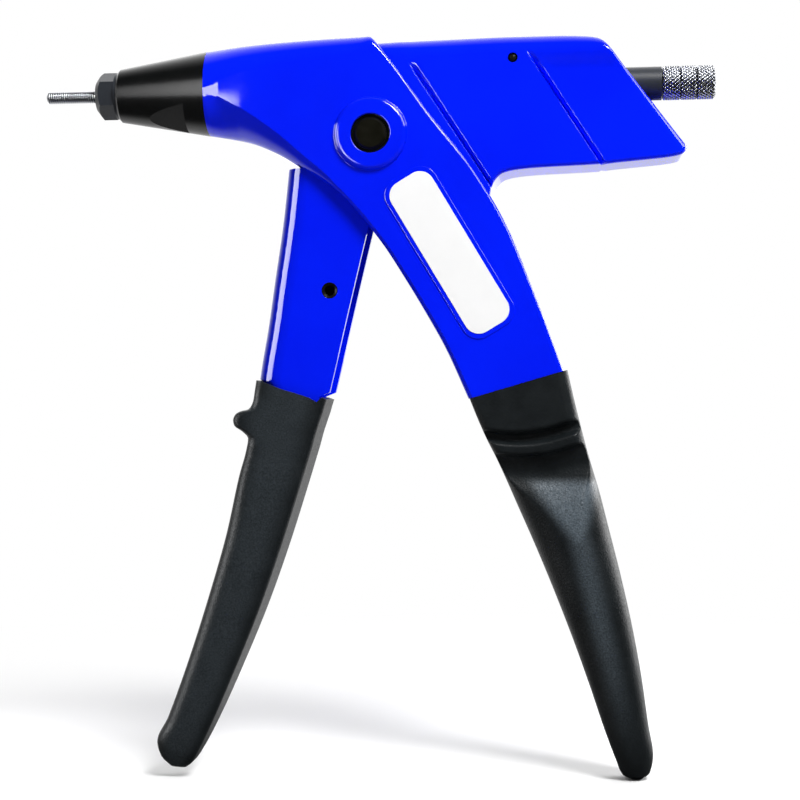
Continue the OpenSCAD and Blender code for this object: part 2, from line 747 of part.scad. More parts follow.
module chuck_cap() {
    color("#55595b") difference() {
        union() {
            rod(chuck_d, cap_x, chuck_x);
            rod(pocket_d - 2 * snug_fit, chuck_x - cap_t / 2, race_x);
        }
        rod(mandrel_hole_d, cap_x - cut_over, race_x + cut_over);
    }
}

module race(x) {
    color("#d0d3d5") difference() {
        rod(race_d, x, x + race_t);
        rod(mandrel_hole_d, x - cut_over, x + race_t + cut_over);
    }
}
module front_race() {
    race(race_x);
}
module rear_race() {
    race(rear_race_x);
}

module thrust_balls() {
    color("#e2e4e6") for (k = [0 : ball_count - 1]) rotate([360 * k / ball_count, 0, 0])
        translate([ball_x, ball_ring_d / 2, 0]) sphere(d = ball_d - 0.02);
}

// Yoke: a collar on the tube, with a mid plate that is forked round the drive roller
// and cut out round the pivot pin, which stays still while the yoke slides by
module draw_yoke() {
    window_h = pivot_d / 2 + free_gap;
    window_x0 = pivot[0] - stroke - pivot_d / 2 - 2 * free_gap;
    window_x1 = pivot[0] + pivot_d / 2 + 2 * free_gap;
    foot = drive[1] - yoke_drop;
    slot_half = roller_d / 2 + run_fit;
    slot_top = drive[1] + roller_d / 2 + free_gap;
    plate_outline = [
        [yoke_x, 0], [yoke_x, pivot[1] + window_h + yoke_side], [window_x0 - yoke_side, pivot[1] + window_h],
        [window_x0 - yoke_side, pivot[1] - window_h], [drive[0] - slot_half - yoke_side, slot_top],
        [drive[0] - slot_half - yoke_side, foot], [drive[0] + slot_half + yoke_side, foot],
        [drive[0] + slot_half + yoke_side, slot_top], [window_x1 + yoke_side, pivot[1] - window_h],
        [window_x1 + yoke_side, pivot[1] + window_h], [nut_x, -nut_d / 2 - free_gap], [nut_x, 0]
    ];
    color("#6f7476") at_seam() difference() {
        union() {
            rod(yoke_boss_d, yoke_x, yoke_x + yoke_len);
            plate(plate_outline, -yoke_half, yoke_half);
        }
        rod(tube_rear_d + 2 * snug_fit, yoke_x - cut_over, yoke_x + yoke_len + cut_over);
        plate([
            [window_x0, pivot[1] - window_h], [window_x1, pivot[1] - window_h],
            [window_x1, pivot[1] + window_h], [window_x0, pivot[1] + window_h]
        ], -yoke_half - cut_over, yoke_half + cut_over);
        plate([
            [drive[0] - slot_half, foot - cut_over], [drive[0] + slot_half, foot - cut_over],
            [drive[0] + slot_half, slot_top], [drive[0] - slot_half, slot_top]
        ], -yoke_half - cut_over, yoke_half + cut_over);
    }
}

module yoke_nut() {
    color("#9a9ea0") at_seam() difference() {
        hex_rod(nut_d * cos(30), nut_x, nut_x + nut_len);
        rod(tube_rear_d + 2 * snug_fit, nut_x - cut_over, nut_x + nut_len + cut_over);
    }
}

// Spring between the yoke's nut and the rear guide
module return_spring() {
    per_turn = 14;
    sides = 8;
    x0 = nut_x + nut_len + wire_d / 2 + run_fit;
    x1 = guide_x - wire_d / 2 - run_fit;
    rings = [for (k = [0 : per_turn * coil_turns]) let (
        turn = 360 * k / per_turn,
        x = x0 + (x1 - x0) * k / (per_turn * coil_turns))
        [for (j = [0 : sides - 1]) let (a = 360 * j / sides, r = coil_d / 2 + wire_d / 2 * cos(a))
            [x + wire_d / 2 * sin(a), r * cos(turn), r * sin(turn)]]];
    color("#a9adb0") at_seam() skin(rings);
}

// Mandrel line

module mandrel() {
    tip = 0.6;
    color("#c9ccce") difference() {
        union() {
            taper(mandrel_d - 2 * tip, mandrel_d, -mandrel_free, tip - mandrel_free);
            rod(mandrel_d, tip - mandrel_free, 0);
            rod(shank_d, -cut_over, head_x + cut_over);
            rod(mandrel_head_d, head_x, head_x + mandrel_head_len);
        }
        hex_rod(key_af, head_x + 1.5, head_x + mandrel_head_len + cut_over);
    }
}

module drive_spindle() {
    key_x = head_x + 1.8;
    rod_x = pocket_end + free_gap;
    color("#b5b8ba") difference() {
        union() {
            hex_rod(key_af - 2 * snug_fit, key_x, rod_x + cut_over);
            rod(spindle_d, rod_x, seam_x + spindle_end);
        }
        rod(screw_d + 2 * snug_fit, seam_x + spindle_end - screw_hole_len, seam_x + spindle_end + cut_over);
    }
}

module knob() {
    knob_end = knob_x + knob_len;
    color("#d8dadc") at_seam() difference() {
        union() {
            rod(knob_d, knob_x, knob_end - knob_chamfer);
            taper(knob_d, knob_d - 2 * knob_chamfer, knob_end - knob_chamfer, knob_end);
        }
        rod(spindle_d + 2 * snug_fit, knob_x - cut_over, spindle_end);
        rod(screw_d + 2 * snug_fit, knob_x, knob_end + cut_over);
        rod(screw_head_d + 2 * snug_fit, knob_end - screw_head_len - screw_sunk, knob_end + cut_over);
    }
}

module knob_screw() {
    head_end = knob_x + knob_len - screw_sunk;
    color("#4a4d4f") at_seam() difference() {
        union() {
            rod(screw_d, head_end - screw_len, head_end - screw_head_len / 2);
            rod(screw_head_d, head_end - screw_head_len, head_end);
        }
        hex_rod(screw_key_af, head_end - screw_key_deep, head_end + cut_over);
    }
}

housing();
rear_hood();
hood_pin();
rear_guide();
nose_cone();
nosepiece();
front_bush();
pivot_pin();
pivot_bushes();
retaining_rings();
fixed_grip();
return_spring();
lever();
lever_grip();
lever_tie();
drive_pin();
drive_roller();
draw_tube();
chuck_cap();
front_race();
thrust_balls();
rear_race();
draw_yoke();
yoke_nut();
mandrel();
drive_spindle();
knob();
knob_screw();
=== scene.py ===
"""Looks of the hand lever rivet nut tool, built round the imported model's frame."""
import json
import math

import bmesh
import bpy
import numpy as np
from mathutils import Matrix, Vector

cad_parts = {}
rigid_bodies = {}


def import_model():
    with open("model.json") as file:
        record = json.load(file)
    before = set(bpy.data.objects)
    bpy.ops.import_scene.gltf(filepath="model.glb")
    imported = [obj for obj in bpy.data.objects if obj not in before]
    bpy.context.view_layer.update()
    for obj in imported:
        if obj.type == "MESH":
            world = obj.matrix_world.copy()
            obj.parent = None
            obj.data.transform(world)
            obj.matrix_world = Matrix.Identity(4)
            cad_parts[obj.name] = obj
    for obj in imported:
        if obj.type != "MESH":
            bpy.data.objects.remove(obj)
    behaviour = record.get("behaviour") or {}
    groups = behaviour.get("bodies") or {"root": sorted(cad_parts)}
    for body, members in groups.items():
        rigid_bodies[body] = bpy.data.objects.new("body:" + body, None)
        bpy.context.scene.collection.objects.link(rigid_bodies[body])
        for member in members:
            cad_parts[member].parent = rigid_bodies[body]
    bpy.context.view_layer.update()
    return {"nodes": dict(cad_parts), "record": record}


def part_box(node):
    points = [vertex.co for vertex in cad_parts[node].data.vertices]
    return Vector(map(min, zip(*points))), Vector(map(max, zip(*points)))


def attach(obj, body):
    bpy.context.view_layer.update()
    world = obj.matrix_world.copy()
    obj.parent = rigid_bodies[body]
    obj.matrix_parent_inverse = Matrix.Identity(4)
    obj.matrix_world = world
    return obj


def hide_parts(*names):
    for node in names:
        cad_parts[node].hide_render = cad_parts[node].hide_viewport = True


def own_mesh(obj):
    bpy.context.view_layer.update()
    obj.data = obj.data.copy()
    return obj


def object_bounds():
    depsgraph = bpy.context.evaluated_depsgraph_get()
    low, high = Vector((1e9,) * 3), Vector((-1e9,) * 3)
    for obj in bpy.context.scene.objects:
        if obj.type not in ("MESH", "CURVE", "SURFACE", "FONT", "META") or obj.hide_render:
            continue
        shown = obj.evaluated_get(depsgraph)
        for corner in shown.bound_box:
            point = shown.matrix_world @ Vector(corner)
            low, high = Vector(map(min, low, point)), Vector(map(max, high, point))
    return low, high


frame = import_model()
nodes = frame["nodes"]

# Units: shapes are worked out in millimetres from the seam behind the nose cone, and made in metres
MM = 0.001
FRONT_X = 0.7
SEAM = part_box("housing")[0].x / MM - FRONT_X
# Steps round a corner, and the least radius and half width that a section keeps
ARC = 14
LEAST_R = 0.3
LEAST_FLAT = 0.2

# Head and arm
PIVOT = np.array([53, -15.4])
PIVOT_PIN_HOLE = 10.1
BUSH_D = 12.14
BOSS_D = 22.6
BOSS_H = 1.6
HOLE_GAP = 0.04
CUTTER_HALF = 20
SLAB_HALF = 13
SEAM_R = 13.4
ARM_EDGE = 1.4
CONE_SPIGOT_D = 21.04
CONE_SPIGOT_END = 11.22
FRONT_BUSH_D = 17.04
FRONT_BUSH_END = 31
CAVITY_HALF = 9.5
CAVITY_GAP = 1.6
# Hood
HOOD_HALF = 11.2
HOOD_WALL = 2
HOOD_STEP = 1
HOOD_EDGE = 1.4
HOOD_PIN = np.array([97, 7.3])
HOOD_PIN_D = 3
SOCKET_GAP = 0.15
# Lever, with its drive, its tie and the grips
LEVER_W = 18
LEVER_SHEET = 2
LEVER_BEND = 8
LEVER_TRAVEL = 26
EAR_R = 9.5
EAR_GAP = 0.3
EAR_INSET = 0.04
DRIVE_ARM = 12.2
DRIVE_PIN_HOLE = 5.04
TIE = np.array([39.3, -63.4])
TIE_D = 5
TIE_WALL = 0.9
GRIP_GAP = 0.1

# Rows of the lofts: the section's two ends [x, z] and [x, z], half thickness, corner radius at each end
HOUSING_ROWS = [
    [FRONT_X, SEAM_R, FRONT_X, -SEAM_R, SEAM_R, SEAM_R - 0.2, SEAM_R - 0.2],
    [13.5, 14.3, 12, -15.6, 13.4, 10, 9],
    [26.5, 15, 22.5, -20, 13.2, 8.5, 6],
    [40, 15.5, 31.5, -25.6, SLAB_HALF, 7.5, 3.8],
    [49, 15.6, 38.5, -30, SLAB_HALF, 6.5, 2.4],
    [52, 15.5, 42.5, -33, SLAB_HALF, 5, ARM_EDGE],
    [53.2, 15, 44.5, -35, SLAB_HALF, 3.6, ARM_EDGE],
    [54.2, 13.9, 46, -36.6, SLAB_HALF, 2.4, ARM_EDGE],
    [59.6, 7, 50.5, -41.8, SLAB_HALF, ARM_EDGE, ARM_EDGE],
    [71.2, -9.4, 56.7, -50, SLAB_HALF, ARM_EDGE, ARM_EDGE],
    [83.4, -25.2, 63, -60, SLAB_HALF, ARM_EDGE, ARM_EDGE],
    [95, -45, 69.5, -71, SLAB_HALF, ARM_EDGE, ARM_EDGE],
    [102.5, -64, 75.5, -82, SLAB_HALF, ARM_EDGE, ARM_EDGE],
    [111.6, -89.3, 82.4, -97.6, SLAB_HALF, ARM_EDGE, ARM_EDGE],
]
# Spans between the housing's rows where it turns from round to flat, and is made of finer rows
HOUSING_FINE = (0, 1)
# The tang of the housing, inside the fixed grip
TANG_ROWS = [
    [106, -90.9, 88, -96, 8.5, 3, 3],
    [111.5, -112, 95, -117, 8.5, 3, 3],
    [117, -132, 102.5, -136, 8.5, 3, 3],
    [124, -162, 112.5, -165, 7.5, 3, 3],
    [129.5, -190, 121.5, -192, 6, 2.5, 2.5],
]
HOOD_ROWS = [
    [51, 13.6, 85.6, -37.4, HOOD_HALF, 6, HOOD_EDGE],
    [56.5, 13.8, 89.5, -35.4, HOOD_HALF, 6, HOOD_EDGE],
    [61, 14.1, 90.3, -31.8, HOOD_HALF, 6.5, HOOD_EDGE],
    [67.5, 14.3, 93.9, -28, HOOD_HALF, 7, HOOD_EDGE],
    [76, 14.5, 100.6, -26.9, HOOD_HALF, 7, HOOD_EDGE],
    [96.6, 14.9, 122.5, -26, HOOD_HALF, 7, HOOD_EDGE],
    [99.8, 14.9, 125.8, -25.8, HOOD_HALF, 7, HOOD_EDGE],
    [101.6, 14.9, 127.6, -25.6, HOOD_HALF, 7, HOOD_EDGE],
    [110, 14.9, 136, -24.9, HOOD_HALF, 7, HOOD_EDGE],
    [119.6, 14.4, 146, -23.9, HOOD_HALF, 6.4, HOOD_EDGE],
    [122.6, 13.9, 148.5, -23.2, HOOD_HALF, 6, HOOD_EDGE],
    [123.9, 13.4, 149.4, -22.4, HOOD_HALF - 0.25, 5.6, HOOD_EDGE],
    [124.7, 12.9, 149.9, -21.6, HOOD_HALF - 0.8, 5.2, HOOD_EDGE],
    [125, 12.4, 150.1, -21, HOOD_HALF - 1.5, 4.8, HOOD_EDGE],
]
# Steps across the hood's sides
HOOD_STEPS = 40
# Spans between the hood's rows that hold a groove or a ridge, and are made of finer rows
HOOD_FINE = (1, 2, 5, 6)
# The lever's channel: only the sections' ends, the open one first
LEVER_ROWS = [
    [57, -25, 25.8, -25],
    [54.2, -33.8, 24.9, -33],
    [51.4, -44.6, 23.8, -42],
    [46.9, -62.6, 21, -60],
    [43, -78.6, 18.7, -75.1],
    [40.3, -90, 16.6, -86.6],
    [39, -95.2, 16, -90.7],
    [35.9, -96.4, 17, -91.5],
    [34.8, -101.6, 16.4, -98.3],
    [31.2, -113.6, 14.8, -110.4],
    [27.3, -126.2, 12.4, -122.6],
    [21.3, -144, 8.2, -141],
    [14.2, -162.5, 2.4, -160],
    [5.8, -182, -4.6, -180],
]
# The first of the lever's rows inside its grip
LEVER_NECK = 7
FIXED_GRIP_ROWS = [
    [112.8, -89, 82.7, -97.5, 13.3, 3.4, 1.8],
    [114.9, -98.6, 84.9, -103.2, 13.3, 3.6, 2.4],
    [116.9, -107, 87.7, -109.8, 13.3, 4.4, 3.4],
    [118.4, -113, 90.7, -116, 13.2, 5.2, 4.6],
    [119.9, -118.4, 93.2, -121.8, 12.6, 6.5, 6.5],
    [122.1, -126, 96.3, -129.4, 12.4, 9, 9.6],
    [125.2, -138.5, 102.3, -143.5, 12.6, 10, 11],
    [128.7, -153, 108, -157.5, 12.6, 9, 10],
    [131.9, -168, 113.3, -171.5, 11.8, 8, 9],
    [134.7, -184, 118.7, -187, 10.6, 7, 7.5],
    [136.7, -199, 123.3, -201, 9.4, 6, 6],
    [138.1, -208.5, 126.6, -210, 8, 5, 5],
    [137, -214.3, 128.8, -214.9, 5.6, 3.6, 3.6],
    [134.4, -216.2, 131.6, -216.3, 2.6, 1.2, 1.2],
]
LEVER_GRIP_ROWS = [
    [38.2, -97.3, 16, -91.1, 11.5, 2.2, 2.8],
    [37.5, -99.5, 15.4, -94.7, 11.5, 2.2, 2.8],
    [37, -101.2, 14.9, -97.6, 11.5, 2.2, 2.8],
    [36.4, -102.9, 13.35, -100.15, 11.5, 2.2, 2.8],
    [36, -104, 10.8, -100.75, 11.5, 2.2, 2.8],
    [35.6, -105.2, 9.1, -101.9, 11.5, 2.2, 2.8],
    [35.1, -106.6, 8.5, -103.55, 11.5, 2.2, 2.8],
    [34.6, -108.2, 8.9, -105.25, 11.5, 2.2, 2.8],
    [34.1, -110, 11.2, -106.95, 11.5, 2.2, 3],
    [33.6, -111.8, 13.1, -109.2, 11.5, 2.2, 3.4],
    [32.7, -114.7, 12.5, -112.6, 11.5, 2.2, 3.6],
    [29.9, -123.5, 10.2, -120.7, 11.8, 2.2, 4],
    [23.5, -143, 5.6, -139.8, 11.9, 2.2, 5],
    [16.6, -162, -0.2, -159, 11.5, 2.2, 5],
    [7.5, -183.5, -7.4, -180.3, 10.8, 2.2, 5],
    [0, -199.8, -13.9, -197, 9.4, 2.2, 5],
    [-4.3, -208, -17.8, -205.4, 7.8, 2.2, 5],
    [-6.8, -211.8, -16.8, -209.8, 5.6, 2.2, 4],
    [-9, -213.5, -14, -213, 2.6, 1.6, 1.6],
]
# Outline of the dip in the lever grip's mouth
MOUTH_DIP = [
    [18, -91.6], [23.7, -93.9], [28.1, -95.2], [32.5, -96.7], [35.2, -98.2], [36.3, -97.1],
    [37.4, -95], [28, -90],
]


# Materials

RUBBER_SHINE = 0.17
# The rubber's sheen: its specular level there, and a paler colour that is a painted highlight
SHEEN_SPECULAR = 1.0
PAINTED_SHEEN_COLOUR = (0.075, 0.1, 0.122)
# Noise goes from low to high between these values, and stays there beyond them
NOISE_LOW = 0.3
NOISE_HIGH = 0.7


def material_nodes(name):
    """A new material, with its nodes, its links and its shader."""
    material = bpy.data.materials.new(name)
    material.use_nodes = True
    tree = material.node_tree
    return material, tree.nodes, tree.links, tree.nodes["Principled BSDF"]


def noise(tree_nodes, links, scale, detail=3.0, stretch=(1, 1, 1)):
    """A noise texture fixed to the object, with its own scale per metre."""
    place = tree_nodes.new("ShaderNodeTexCoord")
    mapping = tree_nodes.new("ShaderNodeMapping")
    mapping.inputs["Scale"].default_value = stretch
    texture = tree_nodes.new("ShaderNodeTexNoise")
    texture.inputs["Scale"].default_value = scale
    texture.inputs["Detail"].default_value = detail
    links.new(place.outputs["Object"], mapping.inputs["Vector"])
    links.new(mapping.outputs["Vector"], texture.inputs["Vector"])
    return texture


def ramp(tree_nodes, links, value, start, end, low=0.0, high=1.0, kind="LINEAR"):
    """A number that goes from low to high while another goes from start to end."""
    node = tree_nodes.new("ShaderNodeMapRange")
    node.interpolation_type = kind
    node.inputs["From Min"].default_value = start
    node.inputs["From Max"].default_value = end
    node.inputs["To Min"].default_value = low
    node.inputs["To Max"].default_value = high
    links.new(value, node.inputs["Value"])
    return node.outputs["Result"]


def combined(tree_nodes, links, operation, first, second):
    """The sum, product or larger one of two numbers."""
    node = tree_nodes.new("ShaderNodeMath")
    node.operation = operation
    links.new(first, node.inputs[0])
    links.new(second, node.inputs[1])
    return node.outputs["Value"]


def mixed(tree_nodes, links, share, first, second):
    """A colour that goes from the first to the second, each of them a plain colour or a node's output."""
    node = tree_nodes.new("ShaderNodeMix")
    node.data_type = "RGBA"
    links.new(share, node.inputs[0])
    for socket, colour in ((node.inputs[6], first), (node.inputs[7], second)):
        if isinstance(colour, tuple):
            socket.default_value = (*colour, 1)
        else:
            links.new(colour, socket)
    return node.outputs[2]


def kept_value(tree_nodes, name):
    """A number that a mesh keeps at each of its points."""
    node = tree_nodes.new("ShaderNodeAttribute")
    node.attribute_name = name
    return node.outputs["Fac"]


def spread(tree_nodes, links, texture, low, high):
    """The noise as a number between low and high."""
    return ramp(tree_nodes, links, texture.outputs["Fac"], NOISE_LOW, NOISE_HIGH, low, high)


def tint(tree_nodes, links, texture, dark, light):
    """The noise as a colour between two colours."""
    node = tree_nodes.new("ShaderNodeValToRGB")
    low, high = node.color_ramp.elements
    low.position, low.color = NOISE_LOW, (*dark, 1)
    high.position, high.color = NOISE_HIGH, (*light, 1)
    links.new(texture.outputs["Fac"], node.inputs["Fac"])
    return node.outputs["Color"]


def bump(tree_nodes, links, shader, texture, strength, depth):
    """Fine relief on the shader, depth in metres."""
    node = tree_nodes.new("ShaderNodeBump")
    node.inputs["Strength"].default_value = strength
    node.inputs["Distance"].default_value = depth
    links.new(texture.outputs["Fac"], node.inputs["Height"])
    links.new(node.outputs["Normal"], shader.inputs["Normal"])


def make_material(name, colours, rough, cloud, grain, relief, metallic=0.0, stretch=(1, 1, 1),
                  specular=0.5):
    """A material with cloudy colour and roughness and a fine relief."""
    material, tree_nodes, links, shader = material_nodes(name)
    clouds = noise(tree_nodes, links, cloud)
    fine = noise(tree_nodes, links, grain, 2.0, stretch)
    links.new(tint(tree_nodes, links, clouds, *colours), shader.inputs["Base Color"])
    links.new(spread(tree_nodes, links, fine, *rough), shader.inputs["Roughness"])
    bump(tree_nodes, links, shader, fine, *relief)
    shader.inputs["Metallic"].default_value = metallic
    shader.inputs["Specular IOR Level"].default_value = specular
    return material


def make_steel_painted_groove_shade():
    """Bright steel with painted shade in its cut grooves: each mesh says how deep a point lies in a groove.
    """
    material, tree_nodes, links, shader = material_nodes("steel_painted_groove_shade")
    clouds = noise(tree_nodes, links, 220)
    bright = tint(tree_nodes, links, clouds, (0.64, 0.66, 0.7), (0.8, 0.82, 0.86))
    # Painted shade at the bottom of the grooves
    dark = (0.018, 0.019, 0.022)
    colour = mixed(tree_nodes, links, kept_value(tree_nodes, "groove"), bright, dark)
    links.new(colour, shader.inputs["Base Color"])
    links.new(spread(tree_nodes, links, clouds, 0.2, 0.3), shader.inputs["Roughness"])
    shader.inputs["Metallic"].default_value = 1.0
    return material


def paint_rubber_sheen(material):
    """Paints the rubber paler as a painted sheen, and raises its specular level, where a mesh says it has a
    sheen.
    """
    tree_nodes, links = material.node_tree.nodes, material.node_tree.links
    shader = tree_nodes["Principled BSDF"]
    grain = spread(tree_nodes, links, noise(tree_nodes, links, 2000), 0.4, 1.2)
    share = combined(tree_nodes, links, "MULTIPLY", kept_value(tree_nodes, "sheen_mask"), grain)
    shine = ramp(tree_nodes, links, share, 0, 1, RUBBER_SHINE, SHEEN_SPECULAR)
    links.new(shine, shader.inputs["Specular IOR Level"])
    plain = shader.inputs["Base Color"].links[0].from_socket
    # Where the mask is high the base colour turns paler: a painted sheen
    links.new(mixed(tree_nodes, links, share, plain, PAINTED_SHEEN_COLOUR), shader.inputs["Base Color"])


# Colours and roughness from and to, cloud and grain per metre, and the relief's strength and depth
LOOKS = {
    "blue_paint": dict(
        colours=((0.0, 0.009, 0.84), (0.0, 0.012, 0.92)), rough=(0.04, 0.06),
        cloud=30, grain=500, relief=(0.03, 0.00006)),
    "black_rubber": dict(
        colours=((0.005, 0.0068, 0.0078), (0.009, 0.0115, 0.013)), rough=(0.38, 0.5),
        cloud=160, grain=1500, relief=(0.5, 0.0002)),
    "black_steel": dict(
        colours=((0.001, 0.0013, 0.0014), (0.003, 0.0034, 0.0036)), rough=(0.18, 0.26),
        cloud=90, grain=1500, relief=(0.06, 0.00005), stretch=(4, 1, 1), specular=0.4),
    "tube_steel": dict(
        colours=((0.016, 0.019, 0.025), (0.022, 0.026, 0.033)), rough=(0.36, 0.44),
        cloud=120, grain=1500, relief=(0.06, 0.00005), stretch=(4, 1, 1), specular=0.4),
    "dark_steel": dict(
        colours=((0.004, 0.004, 0.002), (0.008, 0.0075, 0.005)), rough=(0.28, 0.36),
        cloud=300, grain=1800, relief=(0.08, 0.00005), specular=0.09),
    "steel": dict(
        colours=((0.5, 0.51, 0.53), (0.62, 0.63, 0.65)), rough=(0.18, 0.28),
        cloud=200, grain=2200, relief=(0.06, 0.00005), metallic=1.0, stretch=(4, 1, 1)),
    "bronze": dict(
        colours=((0.4, 0.27, 0.1), (0.5, 0.36, 0.15)), rough=(0.35, 0.5),
        cloud=200, grain=2600, relief=(0.15, 0.0001), metallic=0.9),
    "alloy": dict(
        colours=((0.6, 0.61, 0.62), (0.68, 0.69, 0.7)), rough=(0.35, 0.45),
        cloud=150, grain=1600, relief=(0.1, 0.00006), metallic=0.9, stretch=(1, 4, 1)),
    "label": dict(
        colours=((0.86, 0.86, 0.86), (0.89, 0.89, 0.89)), rough=(0.3, 0.4),
        cloud=80, grain=1400, relief=(0.03, 0.00005)),
}
MATERIALS = {name: make_material(name, **look) for name, look in LOOKS.items()}
MATERIALS["steel_painted_groove_shade"] = make_steel_painted_groove_shade()
paint_rubber_sheen(MATERIALS["black_rubber"])


# Lofting

# The edge along the housing's belly: where it starts in the quarter turn, how much wider that
# makes the rounding, and the length over which it fades out at the seam
CREASE = 0.5
CREASE_WIDER = 0.8
CREASE_FADE = 7


def ease(t):
    """A smooth rise from 0 to 1."""
    t = min(max(t, 0), 1)
    return t * t * (3 - 2 * t)


def row_slopes(places, rows):
    """Slopes at each row of a smooth curve that never swings past a row."""
    step = np.diff(places)[:, None]
    rise = np.diff(rows, axis=0) / step
    slopes = np.zeros_like(rows)
    slopes[0] = rise[0]
    slopes[-1] = rise[-1]
    for k in range(1, len(rows) - 1):
        before, after = rise[k - 1], rise[k]
        weight_a = 2 * step[k] + step[k - 1]
        weight_b = step[k] + 2 * step[k - 1]
        same = before * after > 0
        safe_before = np.where(same, before, 1)
        safe_after = np.where(same, after, 1)
        mean = (weight_a + weight_b) / (weight_a / safe_before + weight_b / safe_after)
        slopes[k] = np.where(same, mean, 0)
    return slopes


def between(t, move, before, after, slope_before, slope_after):
    """A smooth curve at share t of a span of length move, from its ends and its slopes there."""
    return ((1 + 2 * t) * (1 - t) ** 2 * before + t * (1 - t) ** 2 * move * slope_before
            + t * t * (3 - 2 * t) * after - t * t * (1 - t) * move * slope_after)


def smooth_rows(rows, pitch, fine_spans=(), fine_pitch=0.12):
    """The rows of a loft filled in smoothly, about pitch apart, and closer in some spans."""
    rows = np.array(rows, float)
    middles = (rows[:, 0:2] + rows[:, 2:4]) / 2
    moves = np.maximum(np.linalg.norm(np.diff(middles, axis=0), axis=1), 0.5)
    places = np.concatenate([[0], np.cumsum(moves)])
    slopes = row_slopes(places, rows)
    filled = []
    for k, move in enumerate(moves):
        count = max(int(round(move / (fine_pitch if k in fine_spans else pitch))), 3)
        for t in np.arange(count) / count:
            filled.append(between(t, move, rows[k], rows[k + 1], slopes[k], slopes[k + 1]))
    filled.append(rows[-1])
    return filled


def smooth_table(table, steps=8):
    """A table of (place, value) filled in smoothly."""
    table = np.array(table, float)
    places, values = table[:, 0], table[:, 1:2]
    slopes = row_slopes(places, values)
    filled = []
    for k, move in enumerate(np.diff(places)):
        for t in np.arange(steps) / steps:
            value = between(t, move, values[k], values[k + 1], slopes[k], slopes[k + 1])
            filled.append((places[k] + t * move, value[0]))
    filled.append((places[-1], values[-1, 0]))
    return np.array(filled)


def grown(row, by):
    """A row grown on all sides by a distance, or shrunk if it is negative."""
    a, b = row[0:2], row[2:4]
    u = (a - b) / np.linalg.norm(a - b) * by
    radii = [max(r + by, LEAST_R) for r in row[5:7]]
    return np.concatenate([a + u, b - u, [row[4] + by], radii])


def section(row, side_steps=1, crease=0.0):
    """One closed section: a rounded rectangle standing on the line between a row's ends.
    A crease starts the rounding at the second end with an edge, at that share of a quarter turn."""
    a, b, half = row[0:2], row[2:4], row[4]
    u = (a - b) / np.linalg.norm(a - b)
    points = []
    for corner in range(4):
        near_a = corner in (0, 3)
        r = row[5] if near_a else row[6]
        first = 0.0 if near_a else math.pi / 2 * crease
        ry = min(r if near_a else r * (1 + CREASE_WIDER * crease), half - LEAST_FLAT)
        base = a - u * r if near_a else b + u * r
        side = 1 if corner < 2 else -1
        for k in range(ARC + 1):
            share = k / ARC if corner in (1, 3) else 1 - k / ARC
            turn = first + (math.pi / 2 - first) * share
            away = r * (math.sin(turn) - math.sin(first)) / (1 - math.sin(first))
            p = base + u * away if near_a else base - u * away
            points.append([p[0], side * (half - ry + ry * math.cos(turn) / math.cos(first)), p[1]])
    ring = []
    for corner in range(4):
        ring.extend(points[corner * (ARC + 1):(corner + 1) * (ARC + 1)])
        if corner in (0, 2):
            start = np.array(ring[-1])
            end = np.array(points[((corner + 1) % 4) * (ARC + 1)])
            ring.extend(list(start + (end - start) * k / side_steps) for k in range(1, side_steps))
    return np.array(ring)


def creased(row):
    """A section of the housing, with the edge along its belly that fades out at the round seam."""
    return section(row, 1, CREASE * ease((row[2] - FRONT_X) / CREASE_FADE))


def channel_section(row):
    """One closed section of a bent channel that is open at the row's first end."""
    a, b = row[0:2], row[2:4]
    u = (a - b) / np.linalg.norm(a - b)
    half = LEVER_W / 2
    base = b + u * LEVER_BEND

    def bend(r):
        points = []
        for corner, side in ((1, 1), (2, -1)):
            for k in range(ARC + 1):
                turn = math.pi / 2 * (corner + k / ARC)
                p = base + u * r * math.cos(turn)
                points.append([p[0], side * (half - LEVER_BEND) + r * math.sin(turn), p[1]])
        return points

    inside = half - LEVER_SHEET
    return np.array([[a[0], half, a[1]]] + bend(LEVER_BEND) + [[a[0], -half, a[1]], [a[0], -inside, a[1]]]
                    + bend(LEVER_BEND - LEVER_SHEET)[::-1] + [[a[0], inside, a[1]]])


def skin(rings, ring=False, channel=False):
    """Points and faces of a solid through a list of sections."""
    count = len(rings[0])
    last = len(rings) - 1
    faces = []
    for i in range(last + 1 if ring else last):
        p = i * count
        q = (0 if i == last else i + 1) * count
        for j in range(count):
            n = (j + 1) % count
            faces.append((p + j, p + n, q + n, q + j))
    if channel:
        ends = [[j, j + 1, count - 2 - j, count - 1 - j] for j in range(count // 2 - 1)]
    else:
        ends = [list(range(count))]
    if not ring:
        for face in ends:
            faces.append(face[::-1])
            faces.append([last * count + k for k in face])
    return np.concatenate(rings), faces


def rounded_box(width, height, radius, steps=10):
    """Outline of a flat rectangle with rounded corners, about its middle."""
    points = []
    for corner in range(4):
        turn = math.pi / 2 * corner
        side_x = 1 if corner in (0, 3) else -1
        side_y = 1 if corner < 2 else -1
        for k in range(steps + 1):
            angle = turn + math.pi / 2 * k / steps
            points.append((side_x * (width / 2 - radius) + radius * math.cos(angle),
                           side_y * (height / 2 - radius) + radius * math.sin(angle)))
    return np.array(points)


# Making pieces

def raw_object(name, points, faces):
    """A mesh object from points in millimetres from the seam."""
    mesh = bpy.data.meshes.new(name)
    mesh.from_pydata([((p[0] + SEAM) * MM, p[1] * MM, p[2] * MM) for p in points], [], faces)
    mesh.update()
    piece = bpy.data.objects.new(name, mesh)
    bpy.context.scene.collection.objects.link(piece)
    return piece


def shaped(piece, operation, *tools):
    """The piece cut by, or joined with, other objects, which are then deleted."""
    for tool in tools:
        outward(tool)
        modifier = piece.modifiers.new("shape", "BOOLEAN")
        modifier.operation = operation
        modifier.solver = "EXACT"
        modifier.object = tool
    applied(piece)
    for tool in tools:
        bpy.data.objects.remove(tool)
    return piece


